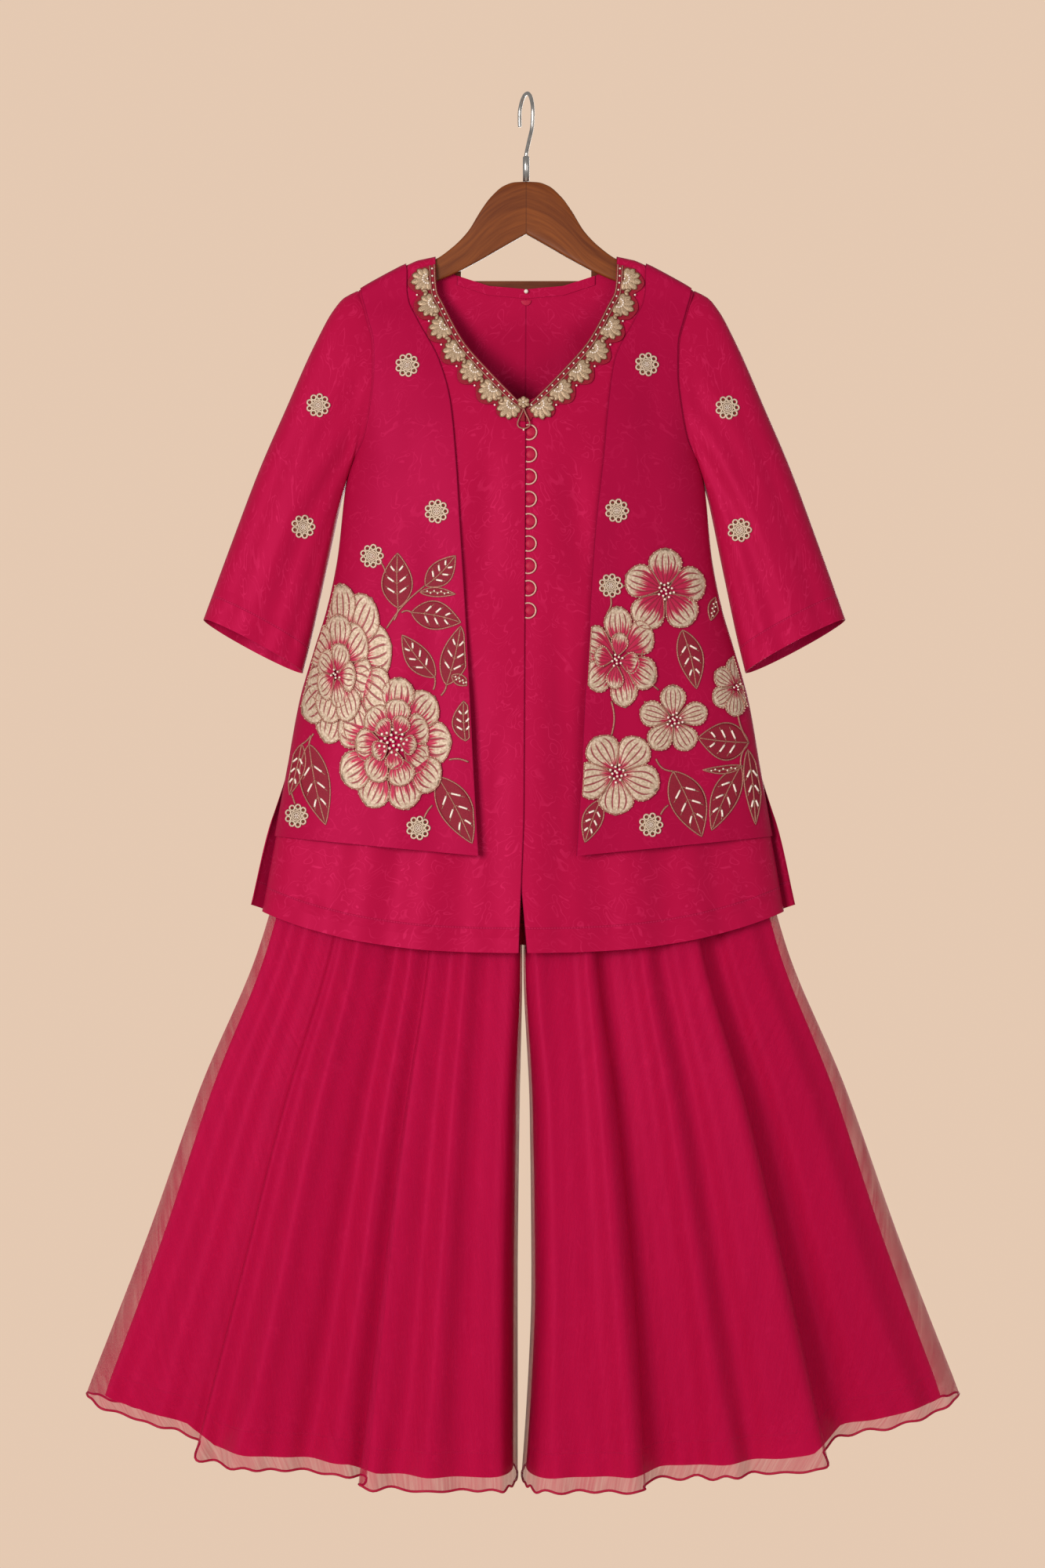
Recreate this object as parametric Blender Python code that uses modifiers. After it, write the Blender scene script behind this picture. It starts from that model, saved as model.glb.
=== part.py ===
"""A palazzo suit on a wooden hanger: a kurta tunic with jacket fronts over palazzo trousers.

Metres, +Z up. The front faces -Y, and the wearer's right side is at -X, on the viewer's left.
The origin is the inner top of the hook, where it rests on a rod.
Every cloth piece is a grid of points worked out from the tables below, thickened by Solidify.
In the tables x is counted from the garment's centre line and is the same on both sides.
"""

from math import acos, cos, pi, radians, sin

import bmesh
import bpy
import numpy as np
from mathutils import Matrix, Vector
from mathutils.bvhtree import BVHTree

CLOTH = 0.0012
SHEER = 0.0010
SEAM = 0.0003
SIDE_HALF_GAP = 0.0006
SIDES = (("left", -1), ("right", 1))
FACES = (("front", -1), ("back", 1))
FINE_STEP = 0.0004
WELD = 0.00001
TO_BACK = Vector((0, 1, 0))
Y_UP = Matrix.Rotation(pi / 2, 3, "X")

SHOULDER_TOP = -0.173
TUNIC_HEM = -0.916
SWAY = -0.0035
RIDGE = 0.0050
RIDGE_DROPS = (0.0, 0.0007, 0.0025, 0.0060)
ROUND_X = 2.2
ROUND_Y = 1.8
SIDE_CROWDING = 0.909

LAP = 0.010
LAP_TUCK = 0.0030
LAP_FADE = 0.034
V_POINT = -0.338
SLEEVE_START = 0.0010
UNDERARM_CLEAR = 0.0024
CUFF_HALF_DEPTH = 0.026
CUFF_TILT = 0.0055
JACKET_INNER_TOP = 0.1275
JACKET_EDGE_LIFT = 0.0020
JACKET_ARMHOLE_INSET = 0.0024
JACKET_CLEAR = 0.0018
UNDERARM_Z = -0.402

BAND_SCALLOPS = 7
BAND_SCALLOP_DEPTH = 0.16
BAND_FROM_CENTRE = 0.0008
FACING_HALF = 0.0740
FACING_HEIGHT = 0.010

BUTTON_X = 0.0060
BUTTON_TOP = -0.3646
BUTTON_PITCH = 0.02366
BUTTON_COUNT = 9
BUTTON_RADIUS = 0.0050
BUTTON_HALF_HEIGHT = 0.0016
LOOP_X = 0.0040
LOOP_RADIUS = 0.0080
CORD_RADIUS = 0.0008
LOOP_HALF_ANGLE = radians(112)

PEARL_RADIUS = 0.0023
PEARL_Z = -0.2092
TAB_RADIUS = 0.0055
TAB_Z = -0.2185
TAB_THICKNESS = 0.0010

HANGER_HALF_THICKNESS = 0.0046
HANGER_ROUNDING = 0.0016
HOOK_RADIUS = 0.0020
FERRULE_RADIUS = 0.0035
FERRULE_TOP = -0.0650
JOIN_DEPTH = 0.0020
BAR_HALF_LENGTH = 0.0800
BAR_TOP = -0.1974
BAR_BOTTOM = -0.2110
BAR_FRONT = 0.0084
BAR_BACK = 0.0160
LUG_WIDTH = 0.0100
LUG_TOP = -0.1755
PEG_RADIUS = 0.0030
PEG_Z = -0.1810

LEG_TILE = 0.085
LEG_END_FADE = 1.0
LEG_ROUND_IN = 0.08
LEG_HEM_CURVE = 2.5
ORGANZA_COLUMNS = 38
SATIN_COLUMNS = 18
SATIN_TILE = 0.030
SATIN_PUFF = 0.30
SATIN_SHORTER = 0.017
RUFFLE_HEIGHT = 0.0016
RUFFLE_DEPTH = 0.0025
WAIST_Z = -0.500
LEG_HEM_Z = -1.477
WAISTBAND_HEIGHT = 0.040
WAISTBAND_WALL = 0.0016
WAIST_HALF = 0.160
WAIST_DEPTH = 0.022
TAPE_X = 0.120
TAPE_HALF_WIDTH = 0.004
TAPE_THICKNESS = 0.0010
TAPE_HALF_SPAN = 0.0056
TAPE_STRAIGHT_Z = -0.2600
TAPE_CREST = 0.0030


def table(names, *rows):
    """A short table, as a dictionary from a column's name to its numbers."""
    return dict(zip(names.split(), np.array(rows, dtype=float).T))


SHOULDER = table(
    "x z",
    (0.0970, -0.1730),
    (0.1165, -0.1772),
    (0.1335, -0.1848),
    (0.1480, -0.1924),
    (0.1800, -0.2100),
)
# edge and back_edge: the panels' outer edges. round: where the section would reach the middle plane.
# front and back: depth at the centre line. brim: depth at the outer edge.
BODY = table(
    "z edge back_edge round front back brim",
    (-0.1700, 0.1800, 0.1800, 0.2000, 0.0074, 0.0074, 0.00740),
    (-0.2180, 0.1780, 0.1780, 0.1980, 0.0110, 0.0074, 0.00740),
    (-0.2400, 0.1710, 0.1710, 0.1900, 0.0180, 0.0100, 0.00740),
    (-0.2690, 0.1640, 0.1640, 0.1800, 0.0260, 0.0180, 0.00800),
    (-0.3000, 0.1635, 0.1635, 0.1775, 0.0340, 0.0240, 0.00800),
    (-0.3400, 0.1680, 0.1680, 0.1780, 0.0400, 0.0300, 0.00700),
    (-0.3680, 0.1735, 0.1735, 0.1795, 0.0430, 0.0330, 0.00500),
    (-0.3900, 0.1800, 0.1800, 0.1825, 0.0445, 0.0345, 0.00200),
    (-0.4020, 0.1870, 0.1870, 0.1870, 0.0450, 0.0350, 0.00015),
    (-0.4980, 0.1985, 0.1985, 0.1985, 0.0470, 0.0380, 0.00015),
    (-0.5490, 0.2090, 0.2090, 0.2090, 0.0480, 0.0390, 0.00015),
    (-0.5950, 0.2230, 0.2230, 0.2230, 0.0490, 0.0400, 0.00015),
    (-0.6500, 0.2385, 0.2385, 0.2385, 0.0505, 0.0420, 0.00015),
    (-0.7200, 0.2510, 0.2520, 0.2520, 0.0525, 0.0440, 0.00015),
    (-0.7930, 0.2645, 0.2745, 0.2745, 0.0545, 0.0460, 0.00015),
    (-0.8740, 0.2790, 0.2925, 0.2925, 0.0580, 0.0490, 0.00015),
    (-0.9190, 0.2870, 0.3000, 0.3000, 0.0600, 0.0500, 0.00015),
)
# bend: how the row curves from its middle to its side, 1 for straight.
FRONT_ROWS = table(
    "left_x right_x middle_z side_z bend",
    (0.0960, 0.0960, -0.1990, -0.2400, 1.0),
    (0.0945, 0.0945, -0.2110, -0.2690, 1.0),
    (0.0870, 0.0870, -0.2270, -0.3000, 1.0),
    (0.0660, 0.0660, -0.2660, -0.3400, 1.0),
    (0.0385, 0.0385, -0.2985, -0.3680, 1.0),
    (0.0108, 0.0108, -0.3275, -0.3900, 1.0),
    (-0.0002, -LAP, V_POINT, -0.4020, 1.0),
    (-0.0002, -LAP, -0.4400, -0.4980, 1.2),
    (-0.0002, -LAP, -0.5200, -0.5490, 1.6),
    (-0.0002, -LAP, -0.6300, -0.6400, 2.0),
    (-0.0002, -LAP, -0.7550, -0.7300, 2.6),
    (0.0020, -0.0030, -0.8350, -0.8050, 2.6),
    (0.0045, 0.0045, TUNIC_HEM, -0.8740, 2.6),
)
BACK_ROWS = table(
    "left_x right_x middle_z side_z bend",
    (0.0740, 0.0740, -0.1920, -0.2300, 1.0),
    (0.0400, 0.0400, -0.2030, -0.2550, 1.0),
    (SEAM / 2, SEAM / 2, -0.2065, -0.2700, 1.0),
    (SEAM / 2, SEAM / 2, -0.2150, -0.2870, 1.0),
    (SEAM / 2, SEAM / 2, -0.2600, -0.3200, 1.0),
    (SEAM / 2, SEAM / 2, -0.3300, -0.3680, 1.0),
    (SEAM / 2, SEAM / 2, -0.3750, -0.3900, 1.0),
    (SEAM / 2, SEAM / 2, -0.4020, -0.4020, 1.0),
    (SEAM / 2, SEAM / 2, -0.4900, -0.4980, 1.2),
    (SEAM / 2, SEAM / 2, -0.5950, -0.5950, 1.6),
    (SEAM / 2, SEAM / 2, -0.7300, -0.7200, 2.0),
    (SEAM / 2, SEAM / 2, -0.8200, -0.7930, 2.6),
    (SEAM / 2, SEAM / 2, -0.9120, -0.8670, 2.6),
)
# lift: how far the jacket front stands off the tunic at its free edge.
JACKET_ROWS = table(
    "left_x right_x middle_z side_z bend lift",
    (0.1275, 0.1275, -0.2070, -0.2400, 1.0, 0.0020),
    (0.1255, 0.1255, -0.2220, -0.2690, 1.0, 0.0020),
    (0.1145, 0.1145, -0.2450, -0.3000, 1.0, 0.0020),
    (0.0925, 0.0945, -0.2860, -0.3400, 1.0, 0.0022),
    (0.0800, 0.0880, -0.3300, -0.3680, 1.0, 0.0030),
    (0.0735, 0.0825, -0.3900, -0.4020, 1.0, 0.0040),
    (0.0680, 0.0740, -0.4700, -0.4980, 1.2, 0.0052),
    (0.0625, 0.0690, -0.5500, -0.5490, 1.6, 0.0064),
    (0.0570, 0.0640, -0.6450, -0.6400, 2.0, 0.0076),
    (0.0520, 0.0600, -0.7350, -0.7300, 2.0, 0.0088),
    (0.0470, 0.0555, -0.8138, -0.7935, 1.0, 0.0100),
)
# round: 0 has the armhole's section, 1 the cuff's.
SLEEVE_ROWS = table(
    "outer_x outer_z inner_x inner_z round",
    (0.1810, -0.2100, 0.1904, -0.4020, 0.00),
    (0.1945, -0.2170, 0.1920, -0.4110, 0.12),
    (0.2070, -0.2320, 0.1945, -0.4230, 0.30),
    (0.2275, -0.2710, 0.2005, -0.4500, 0.60),
    (0.2560, -0.3360, 0.2095, -0.4930, 0.90),
    (0.2840, -0.4010, 0.2180, -0.5330, 1.00),
    (0.3140, -0.4810, 0.2275, -0.5770, 1.00),
    (0.3435, -0.5620, 0.2375, -0.6180, 1.00),
)
BAND_ROWS = table(
    "inner_x inner_z outer_x outer_z",
    (0.0968, -0.1820, 0.1270, -0.1895),
    (0.0960, -0.1990, 0.1262, -0.2060),
    (0.0945, -0.2110, 0.1240, -0.2210),
    (0.0870, -0.2270, 0.1130, -0.2440),
    (0.0660, -0.2660, 0.0910, -0.2850),
    (0.0385, -0.2985, 0.0610, -0.3200),
    (0.0108, -0.3275, 0.0290, -0.3470),
    (0.0008, -0.3385, 0.0008, -0.3535),
)
BACK_NECK = table(
    "x z",
    (0.0000, -0.2065),
    (0.0400, -0.2030),
    (0.0740, -0.1920),
)
# crotch: 0 above it, 1 where each leg is a tube. tile and puff: size of the folds.
# in_x and in_y: how far the satin lies inside the organza. left_x and right_x: the inseam.
LEG_ROWS = table(
    "middle_z side_z side_x left_x right_x front back crotch tile puff in_x in_y",
    (-0.500, -0.500, 0.1600, 0.0007, 0.0007, 0.022, 0.022, 0.0, 0.00, 0.000, 0.002, 0.004),
    (-0.640, -0.630, 0.2000, 0.0007, 0.0007, 0.030, 0.028, 0.0, 0.20, 0.001, 0.003, 0.006),
    (-0.790, -0.775, 0.2440, 0.0007, 0.0007, 0.036, 0.033, 0.0, 0.50, 0.002, 0.006, 0.008),
    (-0.930, -0.915, 0.2830, 0.0010, 0.0010, 0.046, 0.042, 0.5, 0.80, 0.004, 0.009, 0.012),
    (-1.090, -1.060, 0.3440, 0.0040, 0.0078, 0.074, 0.070, 1.0, 0.92, 0.008, 0.013, 0.021),
    (-1.275, -1.225, 0.4030, 0.0060, 0.0095, 0.095, 0.092, 1.0, 0.97, 0.010, 0.017, 0.026),
    (-1.458, -1.374, 0.4610, 0.0060, 0.0005, 0.109, 0.109, 1.0, 1.00, 0.012, 0.020, 0.031),
    (-1.477, -1.390, 0.4670, 0.0060, -0.0010, 0.110, 0.110, 1.0, 1.00, 0.012, 0.020, 0.032),
)
# first and pitch: the first fold's tip and the folds' spacing, as parts of the leg's half width.
LEG_FOLDS = {
    ("left", "front"): (0.367, 0.376),
    ("right", "front"): (0.285, 0.405),
    ("left", "back"): (0.310, 0.390),
    ("right", "back"): (0.350, 0.370),
}
# x and z: the centre. wide and tall: half sizes. turn: degrees.
FLOWERS = {
    "left": table(
        "x z wide tall petals turn",
        (0.1760, -0.6000, 0.0330, 0.0620, 6, 10),
        (0.1360, -0.7120, 0.0480, 0.0500, 6, 40),
    ),
    "right": table(
        "x z wide tall petals turn",
        (0.1440, -0.5340, 0.0430, 0.0460, 5, 15),
        (0.1080, -0.6230, 0.0380, 0.0400, 4, 50),
        (0.1640, -0.6730, 0.0350, 0.0360, 5, 30),
        (0.1020, -0.7280, 0.0430, 0.0460, 5, 0),
    ),
}
PETAL_NOTCH = 0.26
FLOWER_THICKNESS = 0.0010
FLOWER_GAP = 0.0009
HANGER_TOP = table(
    "x z",
    (0.0000, -0.0922),
    (0.0120, -0.0928),
    (0.0237, -0.0966),
    (0.0379, -0.1088),
    (0.0484, -0.1230),
    (0.0626, -0.1459),
    (0.0802, -0.1636),
    (0.0979, -0.1757),
    (0.1165, -0.1816),
    (0.1335, -0.1889),
    (0.1480, -0.1966),
    (0.1640, -0.2048),
    (0.1680, -0.2080),
)
HANGER_UNDER = table(
    "x z",
    (0.0000, -0.1484),
    (0.0237, -0.1618),
    (0.0484, -0.1760),
    (0.0750, -0.1900),
    (0.0960, -0.1989),
    (0.1300, -0.2120),
    (0.1500, -0.2210),
    (0.1620, -0.2270),
    (0.1665, -0.2255),
    (0.1690, -0.2180),
)
HOOK_PATH = table(
    "x y z",
    (0.0000, 0.0000, -0.0660),
    (0.0006, -0.0010, -0.0600),
    (0.0030, -0.0080, -0.0500),
    (0.0060, -0.0160, -0.0380),
    (0.0070, -0.0190, -0.0250),
    (0.0068, -0.0190, -0.0140),
    (0.0048, -0.0145, -0.0040),
    (0.0022, -0.0075, 0.0010),
    (0.0000, 0.0000, 0.0020),
    (-0.0022, 0.0075, 0.0010),
    (-0.0048, 0.0145, -0.0040),
    (-0.0068, 0.0188, -0.0130),
    (-0.0070, 0.0196, -0.0230),
    (-0.0068, 0.0200, -0.0300),
)

COLOURS = {
    "satin": ((0.54, 0.010, 0.052), 0.45, 0.0),
    "jacket_satin": ((0.48, 0.008, 0.050), 0.45, 0.0),
    "organza": ((0.60, 0.040, 0.080), 0.5, 0.0),
    "band": ((0.26, 0.006, 0.020), 0.6, 0.0),
    "gold_thread": ((0.62, 0.46, 0.30), 0.5, 0.3),
    "tape": ((0.54, 0.010, 0.052), 0.7, 0.0),
    "pearl": ((0.85, 0.76, 0.68), 0.3, 0.0),
    "wood": ((0.22, 0.055, 0.016), 0.5, 0.0),
    "steel": ((0.55, 0.54, 0.52), 0.3, 1.0),
}


def at_height(tab, name, z):
    """A column's value between rows, for a table that runs from the top down."""
    return np.interp(-z, -tab["z"], tab[name])


def sway(z):
    """The garment hangs a little to one side: x shift, from the shoulders down to the hem."""
    return SWAY * np.clip((SHOULDER_TOP - z) / (SHOULDER_TOP - TUNIC_HEM), 0, 1)


def shoulder_z(x):
    """Height of the shoulder seam at x."""
    return np.interp(np.abs(x), SHOULDER["x"], SHOULDER["z"])


def body_depth(x, z, face):
    """Distance of the tunic's wall from the middle plane.

    h = (brim + (depth - brim) * (1 - f**2.2)**(1 / 1.8)) * ridge, with f = |x| / round, and
    ridge = sqrt(1 - (1 - d)**2), d = drop below the shoulder seam / ridge radius, up to 1.
    """
    below = at_height(BODY, "edge" if face == "front" else "back_edge", z)
    wide = np.where(z > UNDERARM_Z, at_height(BODY, "round", z), below)
    f = np.clip(np.abs(x) / wide, 0, 1)
    brim = at_height(BODY, "brim", z)
    depth = at_height(BODY, face, z)
    drop = np.clip((shoulder_z(x) - z) / RIDGE, 0, 1)
    ridge = np.sqrt(1 - (1 - drop) ** 2)
    return np.maximum(SIDE_HALF_GAP, (brim + (depth - brim) * (1 - f**ROUND_X) ** (1 / ROUND_Y)) * ridge)


def lifted(x, z, lift):
    """Front points moved out by lift along the wall's normal (-h_x, -1, -h_z)."""
    step = FINE_STEP
    slope_x = (body_depth(x + step, z, "front") - body_depth(x - step, z, "front")) / (2 * step)
    slope_z = (body_depth(x, z + step, "front") - body_depth(x, z - step, "front")) / (2 * step)
    size = np.sqrt(slope_x**2 + 1 + slope_z**2)
    y = -body_depth(x, z, "front")
    return x - slope_x / size * lift, y - lift / size, z - slope_z / size * lift


def placed(side, x, y, z):
    """Points as rows by columns by xyz, on the side asked for."""
    return np.stack((side * x + sway(z), y, z), axis=-1)


def panel_grid(rows, inner_name, edge_name, columns, shoulder_inner):
    """x and z of a body panel: rows over the shoulder's ridge, then the table's rows.

    Columns crowd towards the side: across = sin(pi / 2 * c)**0.909 for c from 0 to 1.
    """
    across = np.sin(np.linspace(0, pi / 2, columns + 1)) ** SIDE_CROWDING
    tip = SHOULDER["z"][-1]
    x_rows, z_rows = [], []
    for drop in RIDGE_DROPS:
        outer = at_height(BODY, edge_name, tip - drop)
        x = shoulder_inner + (outer - shoulder_inner) * across
        x_rows.append(x)
        z_rows.append(shoulder_z(x) - drop)
    spans = zip(rows[inner_name], rows["middle_z"], rows["side_z"], rows["bend"])
    for inner, middle_z, side_z, bend in spans:
        x = inner + (at_height(BODY, edge_name, side_z) - inner) * across
        x_rows.append(x)
        z_rows.append(middle_z + (side_z - middle_z) * across**bend)
    return np.array(x_rows), np.array(z_rows), across


def make_materials():
    """One Principled material for each entry of COLOURS."""
    made = {}
    for name, (colour, roughness, metallic) in COLOURS.items():
        material = bpy.data.materials.new(name)
        material.use_nodes = True
        shader = material.node_tree.nodes["Principled BSDF"]
        shader.inputs["Base Color"].default_value = (*colour, 1)
        shader.inputs["Roughness"].default_value = roughness
        shader.inputs["Metallic"].default_value = metallic
        made[name] = material
    return made


def add_object(name, mesh, material):
    """A named object in the suit's collection, with its own copy of the material."""
    made = bpy.data.objects.new(name, mesh)
    mesh.materials.clear()
    own = MATERIALS[material].copy()
    own.name = name + "_" + material
    mesh.materials.append(own)
    SUIT.objects.link(made)
    return made


def sheet_mesh(name, points, wrap):
    """A Blender grid with its vertices moved to the points; wrap joins its two side edges."""
    rows, columns = points.shape[:2]
    bm = bmesh.new()
    bmesh.ops.create_grid(bm, x_segments=columns - 1, y_segments=rows - 1, size=1)
    for vert in bm.verts:
        column = round((vert.co.x + 1) / 2 * (columns - 1))
        row = round((1 - vert.co.y) / 2 * (rows - 1))
        vert.co = Vector(points[row, column])
    if wrap:
        bmesh.ops.remove_doubles(bm, verts=bm.verts, dist=WELD)
    mesh = bpy.data.meshes.new(name)
    bm.to_mesh(mesh)
    bm.free()
    mesh.shade_smooth()
    return mesh


def cloth(name, points, thickness, material, wrap=False):
    """A wall of cloth: the grid of points with Solidify."""
    made = add_object(name, sheet_mesh(name, points, wrap), material)
    wall = made.modifiers.new("wall", "SOLIDIFY")
    wall.thickness = thickness
    wall.offset = 0.0
    return made


def surface_tree(made):
    """A ray tree of an object's walls as the viewport shows them."""
    bpy.context.view_layer.update()
    return BVHTree.FromObject(made, bpy.context.evaluated_depsgraph_get())


def seated(tree, points, gap):
    """Points dropped onto the outer face from in front, then moved out by gap."""
    seats = np.array(points, dtype=float)
    for index in np.ndindex(seats.shape[:-1]):
        x, _, z = seats[index]
        hit, normal, _, _ = tree.ray_cast(Vector((x, -1, z)), TO_BACK)
        if hit is None:
            depth = body_depth(x - sway(z), np.array(z), "front")
            hit, _, _, _ = tree.find_nearest(Vector((x, -depth, z)))
            hit, normal = Vector((x, hit.y - CLOTH / 2, z)), -TO_BACK
        seats[index] = hit + normal * gap
    return seats


def make_tunic():
    """Fronts and backs; the left front laps over the right one."""
    fronts = {}
    for name, side in SIDES:
        x, z, _ = panel_grid(FRONT_ROWS, name + "_x", "edge", 11, SHOULDER["x"][0])
        depth = body_depth(x, z, "front")
        if name == "right":
            under = np.clip(1 - (x + LAP) / LAP_FADE, 0, 1) * (z <= V_POINT)
            depth = depth - LAP_TUCK * under
        fronts[name] = cloth(f"tunic_front_{name}", placed(side, x, -depth, z), CLOTH, "satin")
        x, z, _ = panel_grid(BACK_ROWS, name + "_x", "back_edge", 9, SHOULDER["x"][0])
        depth = body_depth(x, z, "back")
        cloth(f"tunic_back_{name}", placed(side, x, depth, z), CLOTH, "satin")
    return fronts


def make_jackets():
    """Jacket fronts: the tunic front's surface moved out, more towards the free edge."""
    jackets = {}
    ridge_lift = np.full(len(RIDGE_DROPS), JACKET_EDGE_LIFT)
    for name, side in SIDES:
        x, z, across = panel_grid(JACKET_ROWS, name + "_x", "edge", 8, JACKET_INNER_TOP)
        free = np.concatenate((ridge_lift, JACKET_ROWS["lift"]))[:, None]
        lift = JACKET_EDGE_LIFT + (free - JACKET_EDGE_LIFT) * (1 - across**3)
        x = x - JACKET_ARMHOLE_INSET * across**4 * (z > UNDERARM_Z - 0.001)
        jackets[name] = cloth(
            f"jacket_front_{name}", placed(side, *lifted(x, z, lift)), CLOTH, "jacket_satin"
        )
    return jackets


def make_sleeves():
    """Tubes from the armhole's ring to the cuff's.

    Round the ring s = (1 - cos(2 pi t)) / 2 runs from the outer line to the inner one and back.
    """
    count = 16
    turn = np.linspace(0, 1, count + 1)
    s = (1 - np.cos(2 * pi * turn)) / 2
    facing = np.where(turn < 0.5, -1.0, 1.0)
    top, bottom = SLEEVE_ROWS["outer_z"][0], SLEEVE_ROWS["inner_z"][0]
    ring_z = top + (bottom - top) * s
    edge = at_height(BODY, "edge", ring_z)
    ring_x = edge + SLEEVE_START + UNDERARM_CLEAR * s**6
    ring_x = ring_x + JACKET_CLEAR * (facing < 0) * np.minimum(1, 12 * s * (1 - s))
    front = body_depth(edge, ring_z, "front")
    back = body_depth(edge, ring_z, "back")
    ring_y = np.where(facing < 0, -front, back)
    ring_y[[0, -1]] = 0
    ring_y[count // 2] = 0
    straight = ring_x[0] + (ring_x[count // 2] - ring_x[0]) * s
    for name, side in SIDES:
        rows = []
        for outer_x, outer_z, inner_x, inner_z, swell in zip(*SLEEVE_ROWS.values()):
            x = outer_x + (inner_x - outer_x) * s + (1 - swell) * (ring_x - straight)
            z = outer_z + (inner_z - outer_z) * s
            round_y = facing * CUFF_HALF_DEPTH * 2 * np.sqrt(s * (1 - s))
            y = (1 - swell) * ring_y + swell * round_y
            z = z - swell * CUFF_TILT * y / CUFF_HALF_DEPTH
            rows.append(placed(side, x, y, z))
        rows = np.array(rows)
        rows[:, -1] = rows[:, 0]
        cloth(f"sleeve_{name}", rows, CLOTH, "satin", wrap=True)


def make_neck(fronts):
    """Embroidered bands along the V, scalloped at their outer edge, and the back neck's facing."""
    steps = np.linspace(0, 1, 2 * BAND_SCALLOPS + 1)
    place = steps * (len(BAND_ROWS["inner_x"]) - 1)
    ends = {key: np.interp(place, np.arange(len(col)), col) for key, col in BAND_ROWS.items()}
    width = 1 - BAND_SCALLOP_DEPTH * (1 - np.abs(np.sin(pi * BAND_SCALLOPS * steps)))
    width[-1] = 1
    across = np.linspace(0, 1, 3)
    grid_x = ends["inner_x"][:, None] + np.outer((ends["outer_x"] - ends["inner_x"]) * width, across)
    grid_z = ends["inner_z"][:, None] + np.outer((ends["outer_z"] - ends["inner_z"]) * width, across)
    for name, side in SIDES:
        tree = surface_tree(fronts[name])
        flat = placed(side, np.maximum(grid_x, BAND_FROM_CENTRE), 0 * grid_x, grid_z)
        points = seated(tree, flat, CLOTH / 2 + 3 * SEAM)
        cloth(f"neck_band_{name}", points, CLOTH, "band")
    x = np.linspace(-FACING_HALF, FACING_HALF, 15)
    z = np.interp(np.abs(x), BACK_NECK["x"], BACK_NECK["z"])
    z = np.stack((z, z - FACING_HEIGHT / 2, z - FACING_HEIGHT))
    x = np.broadcast_to(x, z.shape)
    depth = np.broadcast_to(BODY["back"][0] - CLOTH - SEAM, z.shape)
    cloth("back_neck_facing", np.stack((x, depth, z), axis=-1), CLOTH, "satin")


def make_ball(name, centre, scale, material, segments, rings):
    """A sphere, pressed flat along Y for a covered button."""
    mesh = bpy.data.meshes.new(name)
    bm = bmesh.new()
    bmesh.ops.create_uvsphere(bm, u_segments=segments, v_segments=rings, radius=1)
    bmesh.ops.rotate(bm, verts=bm.verts, matrix=Y_UP)
    bmesh.ops.scale(bm, verts=bm.verts, vec=scale)
    bm.to_mesh(mesh)
    bm.free()
    mesh.shade_smooth()
    made = add_object(name, mesh, material)
    made.location = centre
    return made


def make_cord(name, points, material, cyclic=False):
    """A cord or wire: a curve with a round bevel and filled caps."""
    curve = bpy.data.curves.new(name, "CURVE")
    curve.dimensions = "3D"
    curve.bevel_depth = CORD_RADIUS
    curve.bevel_resolution = 1
    curve.use_fill_caps = not cyclic
    spline = curve.splines.new("POLY")
    spline.points.add(len(points) - 1)
    for point, place in zip(spline.points, points):
        point.co = (*place, 1)
    spline.use_cyclic_u = cyclic
    return add_object(name, curve, material)


def make_buttons(fronts):
    """Nine covered buttons down the front, each in a C of cord from the left front's edge."""
    tree = surface_tree(fronts["right"])
    angles = np.linspace(-LOOP_HALF_ANGLE, LOOP_HALF_ANGLE, 8)
    for number in range(BUTTON_COUNT):
        z = BUTTON_TOP - BUTTON_PITCH * number
        shift = sway(z)
        seat = seated(tree, [(BUTTON_X + shift, 0, z)], SEAM)[0]
        centre = seat + np.array((0, -BUTTON_HALF_HEIGHT, 0))
        scale = (BUTTON_RADIUS, BUTTON_HALF_HEIGHT, BUTTON_RADIUS)
        make_ball(f"button_{number + 1}", centre, scale, "satin", 10, 5)
        ring = np.zeros((len(angles), 3))
        ring[:, 0] = LOOP_X + shift + LOOP_RADIUS * np.cos(angles)
        ring[:, 2] = z + LOOP_RADIUS * np.sin(angles)
        make_cord(f"loop_{number + 1}", seated(tree, ring, CORD_RADIUS + 2 * SEAM), "gold_thread")


def flower_outline(angle, petals):
    """Radius round a flower: 1 at each petal's middle, less at the notches between them."""
    return 1 - PETAL_NOTCH * (1 - np.abs(np.cos(petals * angle / 2)) ** 0.6)


def make_flower(name, tree, centre, half, petals, turn):
    """A raised flower on a panel: a polar grid seated on the panel's outer face."""
    spokes = int(petals) * 4
    angle = np.linspace(0, 2 * pi, spokes + 1)
    radius = flower_outline(angle, petals)
    rows = []
    for share in (1.0, 0.6, 0.2):
        x = centre[0] + half[0] * share * radius * np.cos(angle + turn)
        z = centre[1] + half[1] * share * radius * np.sin(angle + turn)
        rows.append(np.stack((x, 0 * x, z), axis=-1))
    points = seated(tree, rows, FLOWER_GAP + FLOWER_THICKNESS / 2)
    points[:, -1] = points[:, 0]
    mesh = sheet_mesh(name, points, True)
    bm = bmesh.new()
    bm.from_mesh(mesh)
    inner = [edge for edge in bm.edges if edge.is_boundary]
    middle = points[-1].mean(axis=0)
    reach = np.abs(points[-1] - middle).max() * 2
    inner = [edge for edge in inner if (edge.verts[0].co - Vector(middle)).length < reach]
    bmesh.ops.holes_fill(bm, edges=inner, sides=0)
    bm.to_mesh(mesh)
    bm.free()
    made = add_object(name, mesh, "gold_thread")
    wall = made.modifiers.new("wall", "SOLIDIFY")
    wall.thickness = FLOWER_THICKNESS
    wall.offset = 0.0
    return made


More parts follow.
